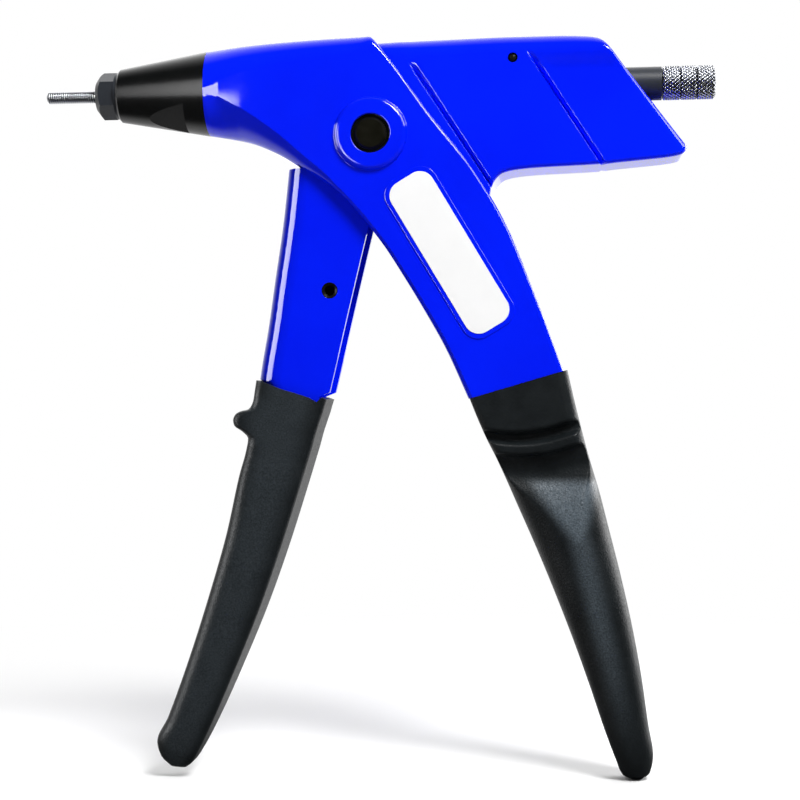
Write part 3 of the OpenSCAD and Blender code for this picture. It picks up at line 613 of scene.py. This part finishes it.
def applied(piece):
    """Puts a piece's modifiers into its mesh."""
    bpy.context.view_layer.update()
    graph = bpy.context.evaluated_depsgraph_get()
    mesh = bpy.data.meshes.new_from_object(piece.evaluated_get(graph))
    piece.modifiers.clear()
    piece.data = mesh


def cross_rings(profile, at, steps=64):
    """Rings of a round piece across the tool, from its (radius, y) profile."""
    rings = []
    for r, y in profile:
        rings.append([[at[0] + r * math.cos(2 * math.pi * k / steps), y,
                       at[1] + r * math.sin(2 * math.pi * k / steps)] for k in range(steps)])
    return np.array(rings)


def cross_bar(d, at, steps=96):
    """A round bar across the tool, for cutting a bore."""
    profile = [(d / 2, CUTTER_HALF), (d / 2, -CUTTER_HALF)]
    return raw_object("cutter", *skin(cross_rings(profile, at, steps)))


def axis_ring(x, r, steps):
    """A circle about the tool's axis."""
    turns = [2 * math.pi * k / steps for k in range(steps)]
    return [[x, r * math.cos(turn), r * math.sin(turn)] for turn in turns]


def long_bar(d, x0, x1, steps=96):
    """A round bar along the tool's axis, for cutting a bore."""
    return raw_object("cutter", *skin(np.array([axis_ring(x, d / 2, steps) for x in (x0, x1)])))


def slab(outline, half, name="cutter"):
    """A flat plate of an outline in X and Z."""
    rings = [[[x, y, z] for x, z in outline] for y in (half, -half)]
    return raw_object(name, *skin(np.array(rings)))


def outward(piece):
    """Turns all faces of a closed mesh outward."""
    work = bmesh.new()
    work.from_mesh(piece.data)
    bmesh.ops.recalc_face_normals(work, faces=work.faces)
    work.to_mesh(piece.data)
    work.free()


def round_edges(piece, width):
    """A small rounding on a piece's sharp edges."""
    edges = piece.modifiers.new("edges", "BEVEL")
    edges.width = width * MM
    edges.segments = 2
    edges.limit_method = "ANGLE"
    edges.angle_limit = math.radians(50)


def places_of(piece):
    """The place of each point of a mesh, along the tool and up, in millimetres from the seam."""
    return [(vertex.co.x / MM - SEAM, vertex.co.z / MM) for vertex in piece.data.vertices]


def keep_values(piece, name, values):
    """Keeps a number from 0 to 1 at each point of a mesh, for its material."""
    kept = piece.data.attributes.new(name, "FLOAT", "POINT")
    kept.data.foreach_set("value", values)


def dressed(piece, slot, body, *stands_for, sharp=32, material=None):
    """Shades a piece, gives it its material and fixes it to its body."""
    outward(piece)
    piece.data.shade_smooth()
    piece.data.set_sharp_from_angle(angle=math.radians(sharp))
    weighted = piece.modifiers.new("weighted", "WEIGHTED_NORMAL")
    weighted.keep_sharp = True
    piece.data.materials.clear()
    piece.data.materials.append(MATERIALS[material or slot])
    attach(piece, body)
    if stands_for:
        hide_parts(*stands_for)
    return piece


# Housing

def squeezed(x, z):
    """Where a point of the lever is after a full squeeze."""
    turn = math.radians(LEVER_TRAVEL)
    dx, dz = x - PIVOT[0], z - PIVOT[1]
    return [PIVOT[0] + dx * math.cos(turn) - dz * math.sin(turn),
            PIVOT[1] + dx * math.sin(turn) + dz * math.cos(turn)]


def cavity_outline():
    """Room for the lever: round its ears, and where its open edge sweeps into the arm."""
    swept = [squeezed(*LEVER_ROWS[k][0:2]) for k in (2, 3, 4, 5)]
    swept = [[x + CAVITY_GAP, z] for x, z in swept]
    swept[0][1] += 2
    return [[29.8, -40], [29.8, 11], [63, 11], [91, -31.4], [82, -34.6]] + swept + [[60, -92]]


def socket_outline():
    """Socket that takes the hood's front lip."""
    top = HOOD_ROWS[0][0:2]
    foot = HOOD_ROWS[0][2:4]
    return [[top[0] - SOCKET_GAP, top[1] + SOCKET_GAP], [top[0] + 21, top[1] + 0.8],
            [foot[0] + 10.4, foot[1] + 7.4], [foot[0] + 4.2, foot[1] + 1.4],
            [foot[0] - SOCKET_GAP, foot[1] - 3 * SOCKET_GAP]]


def make_housing():
    """The cast head, arm and tang, with its bores, the lever's cavity and the hood's socket."""
    rows = smooth_rows(HOUSING_ROWS, 2, HOUSING_FINE, 0.7) + smooth_rows(TANG_ROWS, 8)
    piece = raw_object("housing_cast", *skin([creased(row) for row in rows]))
    outward(piece)
    shaped(piece, "DIFFERENCE", long_bar(CONE_SPIGOT_D, FRONT_X - 1, CONE_SPIGOT_END),
           long_bar(FRONT_BUSH_D, 0, FRONT_BUSH_END), slab(cavity_outline(), CAVITY_HALF),
           slab(socket_outline(), HOOD_HALF + SOCKET_GAP), cross_bar(BUSH_D, PIVOT))
    return dressed(piece, "blue_paint", "body", "housing", sharp=22)


def boss_profile():
    """Half profile of the boss as (radius, height), from the bore out to its blend with the side."""
    rim, edge, foot = 0.3, 1.5, 0.3
    bore = BUSH_D / 2
    outer = BOSS_D / 2
    points = [(bore, -1.0)]
    for k in range(ARC + 1):
        turn = math.pi / 2 * k / ARC
        points.append((bore + rim - rim * math.cos(turn), BOSS_H - rim + rim * math.sin(turn)))
    for k in range(ARC + 1):
        turn = math.pi / 2 * k / ARC * 0.9
        points.append((outer - edge + edge * math.sin(turn), BOSS_H - edge + edge * math.cos(turn)))
    r0, h0 = points[-1]
    for k in range(1, ARC + 1):
        t = k / ARC
        points.append((r0 + foot * t, h0 * (1 - t) ** 2))
    points.append((points[-1][0], -1.0))
    return points


def make_bosses():
    """The raised round boss on each side of the pivot."""
    all_points, faces = [], []
    profile = boss_profile()
    steps = 128
    for side in (1, -1):
        rings = []
        for k in range(steps):
            turn = 2 * math.pi * k / steps
            rings.append([[PIVOT[0] + r * math.cos(turn), side * (SLAB_HALF + h),
                           PIVOT[1] + r * math.sin(turn)] for r, h in profile])
        points, side_faces = skin(np.array(rings), ring=True)
        start = sum(len(p) for p in all_points)
        all_points.append(points)
        faces.extend([start + k for k in face] for face in side_faces)
    piece = raw_object("pivot_bosses", np.concatenate(all_points), faces)
    return dressed(piece, "blue_paint", "body", sharp=40)


# Hood

# The step in the hood's sides and the groove behind the housing's edge: a point on each, its direction,
# how wide and deep it is, how long its sloping side is, and where it fades out upward
RIDGE_MIDDLE = np.array([110.47, -5.65])
RIDGE_NORMAL = np.array([0.849, 0.528])
RIDGE_WIDTH = 0.5
RIDGE_FOOT = 1.6
RIDGE_SLOPE = 1.35
RIDGE_TOP_Z = 10
RIDGE_FADE = 7
GROOVE_MIDDLE = np.array([75.55, -8.85])
GROOVE_NORMAL = np.array([0.843, 0.538])
GROOVE_WALL = 0.5
GROOVE_SLOPE = 1.35
GROOVE_DEEP = 1.65
GROOVE_TOP_Z = 6.7
GROOVE_FADE = 4
# Where the hood's walls start to be thinner inside, behind the step
HOOD_THIN_X = 95


def hood_inset(row, z):
    """How far the hood's side is set in at a row: in the groove, and behind the ridge that fades upward."""
    middle = (row[0:2] + row[2:4]) / 2
    behind = (middle - RIDGE_MIDDLE) @ RIDGE_NORMAL
    foot = RIDGE_FOOT * min(max(1 - (behind - RIDGE_WIDTH) / RIDGE_SLOPE, 0), 1)
    ridge = (HOOD_STEP + foot) * ease(behind / RIDGE_WIDTH) * ease((RIDGE_TOP_Z - z) / RIDGE_FADE)
    into = (middle - GROOVE_MIDDLE) @ GROOVE_NORMAL + (GROOVE_WALL + GROOVE_SLOPE) / 2
    slope = min(max(1 - (into - GROOVE_WALL) / GROOVE_SLOPE, 0), 1)
    groove = GROOVE_DEEP * ease(into / GROOVE_WALL) * slope
    return ridge + groove * ease((GROOVE_TOP_Z - z) / GROOVE_FADE)


def make_hood():
    """The hollow cast hood with its open mouth."""
    rings = []
    for row in smooth_rows(HOOD_ROWS, 2, HOOD_FINE):
        ring = section(row, HOOD_STEPS)
        for p in ring:
            inset = hood_inset(row, p[2])
            p[1] -= math.copysign(min(inset, abs(p[1])), p[1])
        rings.append(ring)
    for row in smooth_rows(HOOD_ROWS, 4)[::-1]:
        thinner = HOOD_STEP + RIDGE_FOOT if row[0] > HOOD_THIN_X else 0
        rings.append(section(grown(row, -HOOD_WALL - thinner), HOOD_STEPS))
    piece = raw_object("hood_cast", *skin(rings, ring=True))
    outward(piece)
    shaped(piece, "DIFFERENCE", cross_bar(HOOD_PIN_D + HOLE_GAP, HOOD_PIN, 48))
    return dressed(piece, "blue_paint", "body", "rear_hood", sharp=70)


def make_hood_pin():
    """The pin near the hood's top, with domed ends."""
    half = [(0.01, 11.1), (0.5, 11.05), (0.95, 10.85), (1.25, 10.55), (1.45, 10.1), (HOOD_PIN_D / 2, 9.6)]
    profile = half + [(r, -y) for r, y in half[::-1]]
    piece = raw_object("hood_pin_domed", *skin(cross_rings(profile, HOOD_PIN)))
    return dressed(piece, "dark_steel", "body", "hood_pin", sharp=40)


# Lever

def ear_outline():
    """One of the lever's ears, round the pivot."""
    front, joint, foot = LEVER_ROWS[0][2] + LEVER_BEND + EAR_GAP, -25, -30
    steps, first, last = 24, 140, -20
    outline = [[front, joint]]
    for k in range(steps + 1):
        turn = math.radians(first + (last - first) * k / steps)
        outline.append([PIVOT[0] + EAR_R * math.cos(turn), PIVOT[1] + EAR_R * math.sin(turn)])
    return outline + [[57, joint], [55, foot], [front, foot]]


def make_lever():
    """The bent channel with its ears and its holes."""
    full = [row + [0, 0, 0] for row in LEVER_ROWS]
    rows = smooth_rows(full[:LEVER_NECK], 3) + smooth_rows(full[LEVER_NECK:], 3)
    piece = raw_object("lever_channel", *skin([channel_section(row) for row in rows], channel=True))
    outward(piece)
    ears = []
    for side in (1, -1):
        ear = slab(ear_outline(), LEVER_SHEET / 2 - EAR_INSET, "ear")
        for vertex in ear.data.vertices:
            vertex.co.y += side * (LEVER_W / 2 - LEVER_SHEET / 2) * MM
        ears.append(ear)
    shaped(piece, "UNION", *ears)
    turn = math.radians(LEVER_TRAVEL / 2)
    drive = [PIVOT[0] - DRIVE_ARM * math.sin(turn), PIVOT[1] - DRIVE_ARM * math.cos(turn)]
    shaped(piece, "DIFFERENCE", cross_bar(PIVOT_PIN_HOLE, PIVOT), cross_bar(DRIVE_PIN_HOLE, drive, 64),
           cross_bar(TIE_D + HOLE_GAP, TIE, 64))
    round_edges(piece, 0.35)
    return dressed(piece, "blue_paint", "lever", "lever")


def make_tie():
    """The rivet through the lever's cheeks, with drilled ends that are opened out into a funnel."""
    bore, outer, end, deep = TIE_D / 2 - TIE_WALL, TIE_D / 2, LEVER_W / 2, 5
    half = [(0.01, end - deep), (bore, end - deep), (bore, end - 0.55), (outer - 0.35, end - 0.1),
            (outer - 0.2, end), (outer - 0.1, end), (outer, end - 0.15)]
    piece = raw_object("tie_rivet", *skin(cross_rings(half + [(r, -y) for r, y in half[::-1]], TIE)))
    return dressed(piece, "dark_steel", "lever", "lever_tie", sharp=30)


# Grips

GRIP_TOP = np.array([112.8, -89.3])
GRIP_ALONG = np.array([0.282, -0.959])
GRIP_ACROSS = np.array([GRIP_ALONG[1], -GRIP_ALONG[0]])
GRIP_STEPS = 30
# The collar's length, the part of its lower edge that is straight, and how much the rest of it bows
COLLAR_LONG = 14.6
COLLAR_STRAIGHT = 9
COLLAR_BOW = 0.0125
# Depth of the fixed grip's recesses, by the distance below the collar's curved edge
RECESS = smooth_table([
    (-0.4, 0), (0.2, 0.35), (1.2, 2.7), (1.8, 3), (3.2, 3), (4.4, 1.0), (5, 0.5), (7.2, 0.6), (7.7, 1.1),
    (8.4, 2.8), (9.4, 3.3), (13.4, 4), (14.4, 3.9), (20, 2), (25, 0.8), (31, 0.15), (36, 0),
])
# The fixed grip's wedge of painted sheen, between its top, front and rear edges, and the fainter tail of
# painted sheen below it
WEDGE_TOP = -121.5
WEDGE_FRONT = np.array([98.39, -123.585])
WEDGE_FRONT_NORMAL = np.array([0.811, 0.584])
WEDGE_REAR = np.array([123.5, -125])
WEDGE_REAR_LEAN = 0.22
WEDGE_TOP_FADE = 4
WEDGE_SIDE_FADE = 5
TAIL_MIDDLE = np.array([116.7, -144])
TAIL_LEAN = 0.231
TAIL_HALF = 5.5
TAIL_START, TAIL_START_FADE = -130, 12
TAIL_END, TAIL_END_FADE = -212, 50
TAIL_SHEEN = 0.5
LEVER_SHEEN = 0.2
# How fast the lever grip's painted sheen rises from its edges
LEVER_SHEEN_RISE = 1.35


def recess(x, z):
    """How deep a point of the fixed grip's side lies in the recesses above and below its lip."""
    from_top = np.array([x, z]) - GRIP_TOP
    edge = COLLAR_LONG - COLLAR_BOW * max(from_top @ GRIP_ACROSS - COLLAR_STRAIGHT, 0) ** 2
    return float(np.interp(from_top @ GRIP_ALONG - edge, RECESS[:, 0], RECESS[:, 1]))


def fixed_grip_sheen(x, z):
    """How strong the fixed grip's painted sheen is, from 0 to 1."""
    below_top = ease((WEDGE_TOP - z) / WEDGE_TOP_FADE)
    behind_front = ease((np.array([x, z]) - WEDGE_FRONT) @ WEDGE_FRONT_NORMAL / WEDGE_SIDE_FADE)
    rear = WEDGE_REAR[0] + (z - WEDGE_REAR[1]) * WEDGE_REAR_LEAN
    before_rear = ease((rear - x) / WEDGE_SIDE_FADE)
    middle = TAIL_MIDDLE[0] - (z - TAIL_MIDDLE[1]) * TAIL_LEAN
    beside_tail = ease(1 - abs(x - middle) / TAIL_HALF)
    along_tail = ease((TAIL_START - z) / TAIL_START_FADE) * ease((z - TAIL_END) / TAIL_END_FADE)
    return max(below_top * behind_front * before_rear, TAIL_SHEEN * beside_tail * along_tail)


def lever_grip_sheen(rows, places):
    """How strong the lever grip's painted sheen is: most along its middle line."""
    ends = np.array(rows)[:, 0:4]
    middles = (ends[:, 0:2] + ends[:, 2:4]) / 2
    halves = np.linalg.norm(ends[:, 0:2] - ends[:, 2:4], axis=1) / 2
    sheen_levels = []
    for place in places:
        apart = np.linalg.norm(middles - place, axis=1)
        nearest = apart.argmin()
        sheen_levels.append(LEVER_SHEEN * ease(LEVER_SHEEN_RISE * (1 - apart[nearest] / halves[nearest])))
    return sheen_levels


def make_sleeve(name, outer, inner):
    """A hollow grip with a closed foot, not yet dressed."""
    piece = raw_object(name, *skin([section(row, GRIP_STEPS) for row in inner[::-1] + outer]))
    outward(piece)
    return piece


def make_fixed_grip():
    """The grip on the tang, with its recesses pressed into the sides."""
    inner = [grown(row, GRIP_GAP) for row in smooth_rows(TANG_ROWS, 8)]
    outer = smooth_rows(FIXED_GRIP_ROWS, 0.5)
    piece = make_sleeve("fixed_handle_grip", outer, inner)
    places = places_of(piece)
    count = len(section(outer[0], GRIP_STEPS))
    for k, vertex in enumerate(piece.data.vertices):
        row = k // count - len(inner)
        if row >= 0:
            most = (outer[row][4] - recess(*places[k])) * MM
            vertex.co.y = min(max(vertex.co.y, -most), most)
    # Where these values are high the rubber gets a painted sheen: paler colour and a higher specular level
    keep_values(piece, "sheen_mask", [fixed_grip_sheen(x, z) for x, z in places])
    return dressed(piece, "black_rubber", "body", "fixed_grip", sharp=60)


def make_lever_grip():
    """The grip on the lever, with its finger stop and the dip in its mouth."""
    full = smooth_rows([row + [LEVER_W / 2, 0.1, LEVER_BEND] for row in LEVER_ROWS[LEVER_NECK:]], 3)
    outer = smooth_rows(LEVER_GRIP_ROWS, 1)
    piece = make_sleeve("lever_handle_grip", outer, [grown(row, GRIP_GAP) for row in full])
    shaped(piece, "DIFFERENCE", slab(MOUTH_DIP, CUTTER_HALF))
    # Along the grip's middle line the rubber gets a painted sheen: paler colour and a higher specular level
    keep_values(piece, "sheen_mask", lever_grip_sheen(outer, places_of(piece)))
    round_edges(piece, 0.4)
    return dressed(piece, "black_rubber", "lever", "lever_grip", sharp=50)


# Mandrel and knob

def make_mandrel():
    """The stud with its thread, which ends behind the nosepiece's face, and its plain shank and head."""
    low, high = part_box("mandrel")
    pitch, depth, radius, groove_half = 0.7, 0.4, 2.0, 0.42
    tip_drop, tip_slope = 0.8, 1.2
    shank_r, head_r, head_long = 1.6, 3.5, 4
    tip, end, rear = low.x / MM - SEAM, -SEAM + 1.5, high.x / MM - SEAM
    around = 40
    rows = int((end - tip) / pitch * 12)
    rings = []
    groove_shades = []
    for k in range(rows + 1):
        x = tip + (end - tip) * k / rows
        ring = []
        for j in range(around):
            turn = 2 * math.pi * j / around
            phase = ((x - tip) / pitch - j / around) % 1
            groove = max(0, 1 - abs(phase - 0.5) / groove_half)
            r = min(radius - depth * groove, radius - tip_drop + (x - tip) * tip_slope)
            ring.append([x, r * math.cos(turn), r * math.sin(turn)])
            groove_shades.append(groove ** 0.7)
        rings.append(ring)
    for x, r in ((end, shank_r), (rear - head_long, shank_r), (rear - head_long, head_r), (rear, head_r)):
        rings.append(axis_ring(x, r, around))
        groove_shades.extend([0] * around)
    piece = raw_object("threaded_mandrel", *skin(np.array(rings)))
    # The thread's grooves get painted shade from these values
    keep_values(piece, "groove", groove_shades)
    return dressed(piece, "steel", "spindle", "mandrel", sharp=60, material="steel_painted_groove_shade")


def make_knob():
    """The knurled knob: two sets of crossing grooves, two ring grooves, and bores for screw and spindle."""
    low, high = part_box("knob")
    x0, x1 = low.x / MM - SEAM, high.x / MM - SEAM
    radius, depth, teeth, lead = high.z / MM, 0.42, 26, 1.5
    flat, wall = 0.5, 0.4
    ring_places, ring_half, ring_deep = (x0 + 5.6, x0 + 10.6), 0.3, 0.4
    front_drop, rear_drop = 0.5, 0.8
    head_r, head_deep, screw_r, spindle_r, spindle_deep = 2.92, 2.6, 1.62, 3.17, 9.5
    around = teeth * 12
    rows = 160
    rings = []
    groove_shades = []
    for k in range(rows + 1):
        x = x0 + (x1 - x0) * k / rows
        ringed = max(0, 1 - min(abs(x - place) for place in ring_places) / ring_half)
        ring = []
        for j in range(around):
            turn = 2 * math.pi * j / around
            a = (teeth * j / around + (x - x0) / lead) % 1
            b = (teeth * j / around - (x - x0) / lead) % 1
            cut = max(abs(2 * a - 1), abs(2 * b - 1))
            knurl = min(max((cut - flat) / wall, 0), 1)
            groove_shades.append(max(knurl, ringed))
            r = radius - depth * knurl - ring_deep * ringed
            r = min(r, radius - rear_drop + x1 - x, radius - front_drop + x - x0)
            ring.append([x, r * math.cos(turn), r * math.sin(turn)])
        rings.append(ring)
    for x, r in ((x1, head_r), (x1 - head_deep, head_r), (x1 - head_deep, screw_r),
                 (x0 + spindle_deep, screw_r), (x0 + spindle_deep, spindle_r), (x0, spindle_r)):
        rings.append(axis_ring(x, r, around))
        groove_shades.extend([0] * around)
    piece = raw_object("knurled_knob", *skin(np.array(rings), ring=True))
    # The knurl and ring grooves get painted shade from these values
    keep_values(piece, "groove", groove_shades)
    return dressed(piece, "steel", "spindle", "knob", sharp=70, material="steel_painted_groove_shade")


def make_spring():
    """The return spring, as a coil over the imported spring's length; in the tool it gets shorter as the
    draw tube comes back.
    """
    low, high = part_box("return_spring")
    wire, coil, turns, per_turn, sides = 1.6, 14, 6, 48, 14
    x0, x1 = low.x / MM - SEAM + wire / 2, high.x / MM - SEAM - wire / 2
    rings = []
    for k in range(turns * per_turn + 1):
        turn = 2 * math.pi * k / per_turn
        x = x0 + (x1 - x0) * k / (turns * per_turn)
        ring = []
        for j in range(sides):
            a = 2 * math.pi * j / sides
            r = coil / 2 + wire / 2 * math.cos(a)
            ring.append([x + wire / 2 * math.sin(a), r * math.cos(turn), r * math.sin(turn)])
        rings.append(ring)
    piece = raw_object("coil_spring", *skin(np.array(rings)))
    dressed(piece, "steel", "body", "return_spring", sharp=60)
    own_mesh(piece)
    return piece


# Label

LABEL_MIDDLE = np.array([77.0, -52.5])
LABEL_TURN = math.radians(-59.5)


def make_plate(name, width, height, corner, base, thick, edge, material):
    """A flat rounded plate on the arm's near side, with a rounded edge."""
    along = np.array([math.cos(LABEL_TURN), math.sin(LABEL_TURN)])
    across = np.array([-along[1], along[0]])
    levels = [(0, 0)]
    for k in range(5):
        turn = math.pi / 2 * k / 4
        levels.append((edge * (1 - math.cos(turn)), thick - edge + edge * math.sin(turn)))
    rings = []
    for inset, lift in levels:
        outline = rounded_box(width - 2 * inset, height - 2 * inset, corner - inset)
        places = [LABEL_MIDDLE + p[0] * along + p[1] * across for p in outline]
        rings.append([[x, -base - lift, z] for x, z in places])
    piece = raw_object(name, *skin(np.array(rings)))
    return dressed(piece, "blue_paint", "body", sharp=40, material=material)


def make_label():
    """The raised pad on the arm and the bare label on it."""
    make_plate("label_pad", width=56.6, height=17.6, corner=5.6, base=SLAB_HALF - 0.3, thick=0.65,
               edge=0.3, material="blue_paint")
    make_plate("bare_label", width=53.6, height=14.8, corner=4.6, base=SLAB_HALF + 0.25, thick=0.25,
               edge=0.1, material="label")


# Camera, light and floor

LIT_POINT = Vector((0.095, 0, -0.09))


def make_camera():
    """The camera that the photograph was taken with: place, turn and lens."""
    target = Vector((95.69, 0, -97.72)) * MM
    distance = 600 * MM
    turn, roll = math.radians(5), math.radians(-0.57)
    back = Vector((math.sin(turn), -math.cos(turn), 0))
    flat_right = Vector((math.cos(turn), math.sin(turn), 0))
    flat_up = back.cross(flat_right)
    right = math.cos(roll) * flat_right + math.sin(roll) * flat_up
    up = math.cos(roll) * flat_up - math.sin(roll) * flat_right
    data = bpy.data.cameras.new("camera")
    data.sensor_width = 36
    data.lens = 85.714
    data.clip_start = 0.01
    camera = bpy.data.objects.new("camera", data)
    bpy.context.scene.collection.objects.link(camera)
    turned_to = Matrix((right, up, back)).transposed().to_4x4()
    camera.matrix_world = Matrix.Translation(target + distance * back) @ turned_to
    bpy.context.scene.camera = camera


def make_lamp(name, azimuth, elevation, distance, size, power, lit=None, mirrored=True):
    """A soft box that faces the tool's middle. Azimuth 0 is in front, and it grows to the right.
    It can be kept to reflections on the pieces of a collection, or out of all reflections."""
    data = bpy.data.lights.new(name, "AREA")
    data.shape = "RECTANGLE"
    data.size, data.size_y = size
    data.energy = power
    lamp = bpy.data.objects.new(name, data)
    turn, lift = math.radians(azimuth), math.radians(elevation)
    away = Vector((math.sin(turn) * math.cos(lift), -math.cos(turn) * math.cos(lift), math.sin(lift)))
    lamp.location = LIT_POINT + distance * away
    lamp.rotation_euler = (-away).to_track_quat("-Z", "Y").to_euler()
    lamp.visible_camera = False
    lamp.visible_glossy = mirrored
    if lit:
        lamp.visible_diffuse = False
        lamp.light_linking.receiver_collection = lit
    bpy.context.scene.collection.objects.link(lamp)


def pieces_of(name, slots=(), names=()):
    """A collection of the pieces with some materials, and of pieces named one by one."""
    pieces = bpy.data.collections.new(name)
    for piece in list(bpy.context.scene.objects):
        used = [material.name for material in piece.data.materials] if piece.type == "MESH" else []
        if piece.name in names or any(slot in used for slot in slots):
            pieces.objects.link(piece)
    return pieces


# Light from the surroundings: a direction, and where on the way to it the level rises, from and to
WORLD_LEVELS = (
    ((0, 1, 0), 0.15, 0.9, 0.04, 1.0),
    ((0, 0.707, 0.707), 0.45, 1.0, 0.0, 1.1),
)


def make_world():
    """White to the camera. As light it is dark in front of the tool and pale behind and above it."""
    world = bpy.data.worlds.new("studio")
    world.use_nodes = True
    bpy.context.scene.world = world
    tree_nodes, links = world.node_tree.nodes, world.node_tree.links
    shown = tree_nodes["Background"]
    shown.inputs["Color"].default_value = (1, 1, 1, 1)
    shown.inputs["Strength"].default_value = 1
    light = tree_nodes.new("ShaderNodeBackground")
    light.inputs["Color"].default_value = (1, 1, 1, 1)
    place = tree_nodes.new("ShaderNodeTexCoord")
    levels = []
    for toward, start, end, dark, bright in WORLD_LEVELS:
        share = tree_nodes.new("ShaderNodeVectorMath")
        share.operation = "DOT_PRODUCT"
        share.inputs[1].default_value = toward
        links.new(place.outputs["Generated"], share.inputs[0])
        toward_share = share.outputs["Value"]
        levels.append(ramp(tree_nodes, links, toward_share, start, end, dark, bright, "SMOOTHSTEP"))
    links.new(combined(tree_nodes, links, "ADD", *levels), light.inputs["Strength"])
    path = tree_nodes.new("ShaderNodeLightPath")
    choice = tree_nodes.new("ShaderNodeMixShader")
    links.new(path.outputs["Is Camera Ray"], choice.inputs["Fac"])
    links.new(light.outputs["Background"], choice.inputs[1])
    links.new(shown.outputs["Background"], choice.inputs[2])
    links.new(choice.outputs["Shader"], tree_nodes["World Output"].inputs["Surface"])


# The floor in metres: its reach, how far from the tool it fades to white, and where behind the tool its
# reflection turns white
FLOOR_REACH = 4
FLOOR_FADE = (0.12, 0.45)
FLOOR_BEHIND = (-0.01, 0.12)


def make_floor_white(level):
    """White to the camera away from the tool, white to reflections behind it, and grey as a light."""
    material, tree_nodes, links, shader = material_nodes("floor_white")
    path = tree_nodes.new("ShaderNodeLightPath")
    place = tree_nodes.new("ShaderNodeTexCoord").outputs["Object"]
    dark, grey, low_white, white = (0.05,) * 3, (0.4,) * 3, (0.8,) * 3, (0.82,) * 3
    as_light = mixed(tree_nodes, links, path.outputs["Is Diffuse Ray"], dark, grey)
    as_seen = tint(tree_nodes, links, noise(tree_nodes, links, 3), low_white, white)
    colour = mixed(tree_nodes, links, path.outputs["Is Camera Ray"], as_light, as_seen)
    links.new(colour, shader.inputs["Base Color"])
    shader.inputs["Roughness"].default_value = 0.9
    shader.inputs["Specular IOR Level"].default_value = 0.1
    away = tree_nodes.new("ShaderNodeVectorMath")
    away.operation = "DISTANCE"
    away.inputs[1].default_value = (LIT_POINT.x, LIT_POINT.y, level)
    links.new(place, away.inputs[0])
    far = ramp(tree_nodes, links, away.outputs["Value"], *FLOOR_FADE, kind="SMOOTHSTEP")
    seen = combined(tree_nodes, links, "MULTIPLY", far, path.outputs["Is Camera Ray"])
    parts = tree_nodes.new("ShaderNodeSeparateXYZ")
    links.new(place, parts.inputs["Vector"])
    behind = ramp(tree_nodes, links, parts.outputs["Y"], *FLOOR_BEHIND, kind="SMOOTHSTEP")
    mirrored = combined(tree_nodes, links, "MULTIPLY", behind, path.outputs["Is Glossy Ray"])
    glow = tree_nodes.new("ShaderNodeEmission")
    glow.inputs["Color"].default_value = (1, 1, 1, 1)
    glow.inputs["Strength"].default_value = 1
    both = tree_nodes.new("ShaderNodeMixShader")
    links.new(combined(tree_nodes, links, "MAXIMUM", seen, mirrored), both.inputs["Fac"])
    links.new(shader.outputs["BSDF"], both.inputs[1])
    links.new(glow.outputs["Emission"], both.inputs[2])
    links.new(both.outputs["Shader"], tree_nodes["Material Output"].inputs["Surface"])
    return material


def make_floor():
    """A plain white floor that keeps the tool's shadow, and runs out into the white behind."""
    mesh = bpy.data.meshes.new("floor")
    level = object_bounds()[0][2]
    corners = [(x * FLOOR_REACH, y * FLOOR_REACH, level) for x, y in ((-1, -1), (1, -1), (1, 1), (-1, 1))]
    mesh.from_pydata(corners, [], [(0, 1, 2, 3)])
    mesh.materials.append(make_floor_white(level))
    floor = bpy.data.objects.new("floor", mesh)
    bpy.context.scene.collection.objects.link(floor)


def paint_solids():
    """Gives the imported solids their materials."""
    for part in frame["record"]["subparts"]:
        solid = nodes[part["node"]]
        solid.data.materials.clear()
        solid.data.materials.append(MATERIALS[part["material_slot"]])
    for name in ("draw_tube", "nosepiece"):
        nodes[name].data.materials[0] = MATERIALS["tube_steel"]


def make_lamps():
    """Soft boxes: those with a collection are kept to reflections on its pieces."""
    paint = pieces_of("paint", slots=("blue_paint",))
    castings = pieces_of("castings", names=("housing_cast", "hood_cast", "pivot_bosses", "label_pad"))
    cone = pieces_of("cone", names=(nodes["nose_cone"].name,))
    # Name, azimuth and elevation in degrees, distance, size and power
    make_lamp("left_front_box", -23.6, -1.3, 1.0, (0.4, 0.55), 9, castings)
    make_lamp("cone_box", -23, 14, 1.0, (0.4, 0.72), 6.8, cone)
    make_lamp("left_box", -74, 4, 1.0, (0.5, 0.8), 14, paint)
    make_lamp("right_box", 70, 40, 1.0, (0.6, 0.6), 9, castings)
    make_lamp("key_box", 36, 48, 1.0, (0.36, 0.36), 13.5)
    make_lamp("fill_box", -40, 30, 1.2, (1.0, 1.0), 0.8, mirrored=False)
    make_lamp("rim_box", 122, 8, 1.0, (0.7, 0.8), 11)


make_camera()
paint_solids()
make_housing()
make_bosses()
make_hood()
make_hood_pin()
make_lever()
make_fixed_grip()
make_lever_grip()
make_tie()
make_mandrel()
make_knob()
make_spring()
make_label()
make_world()
make_lamps()
make_floor()
bpy.context.scene.view_settings.view_transform = "Standard"
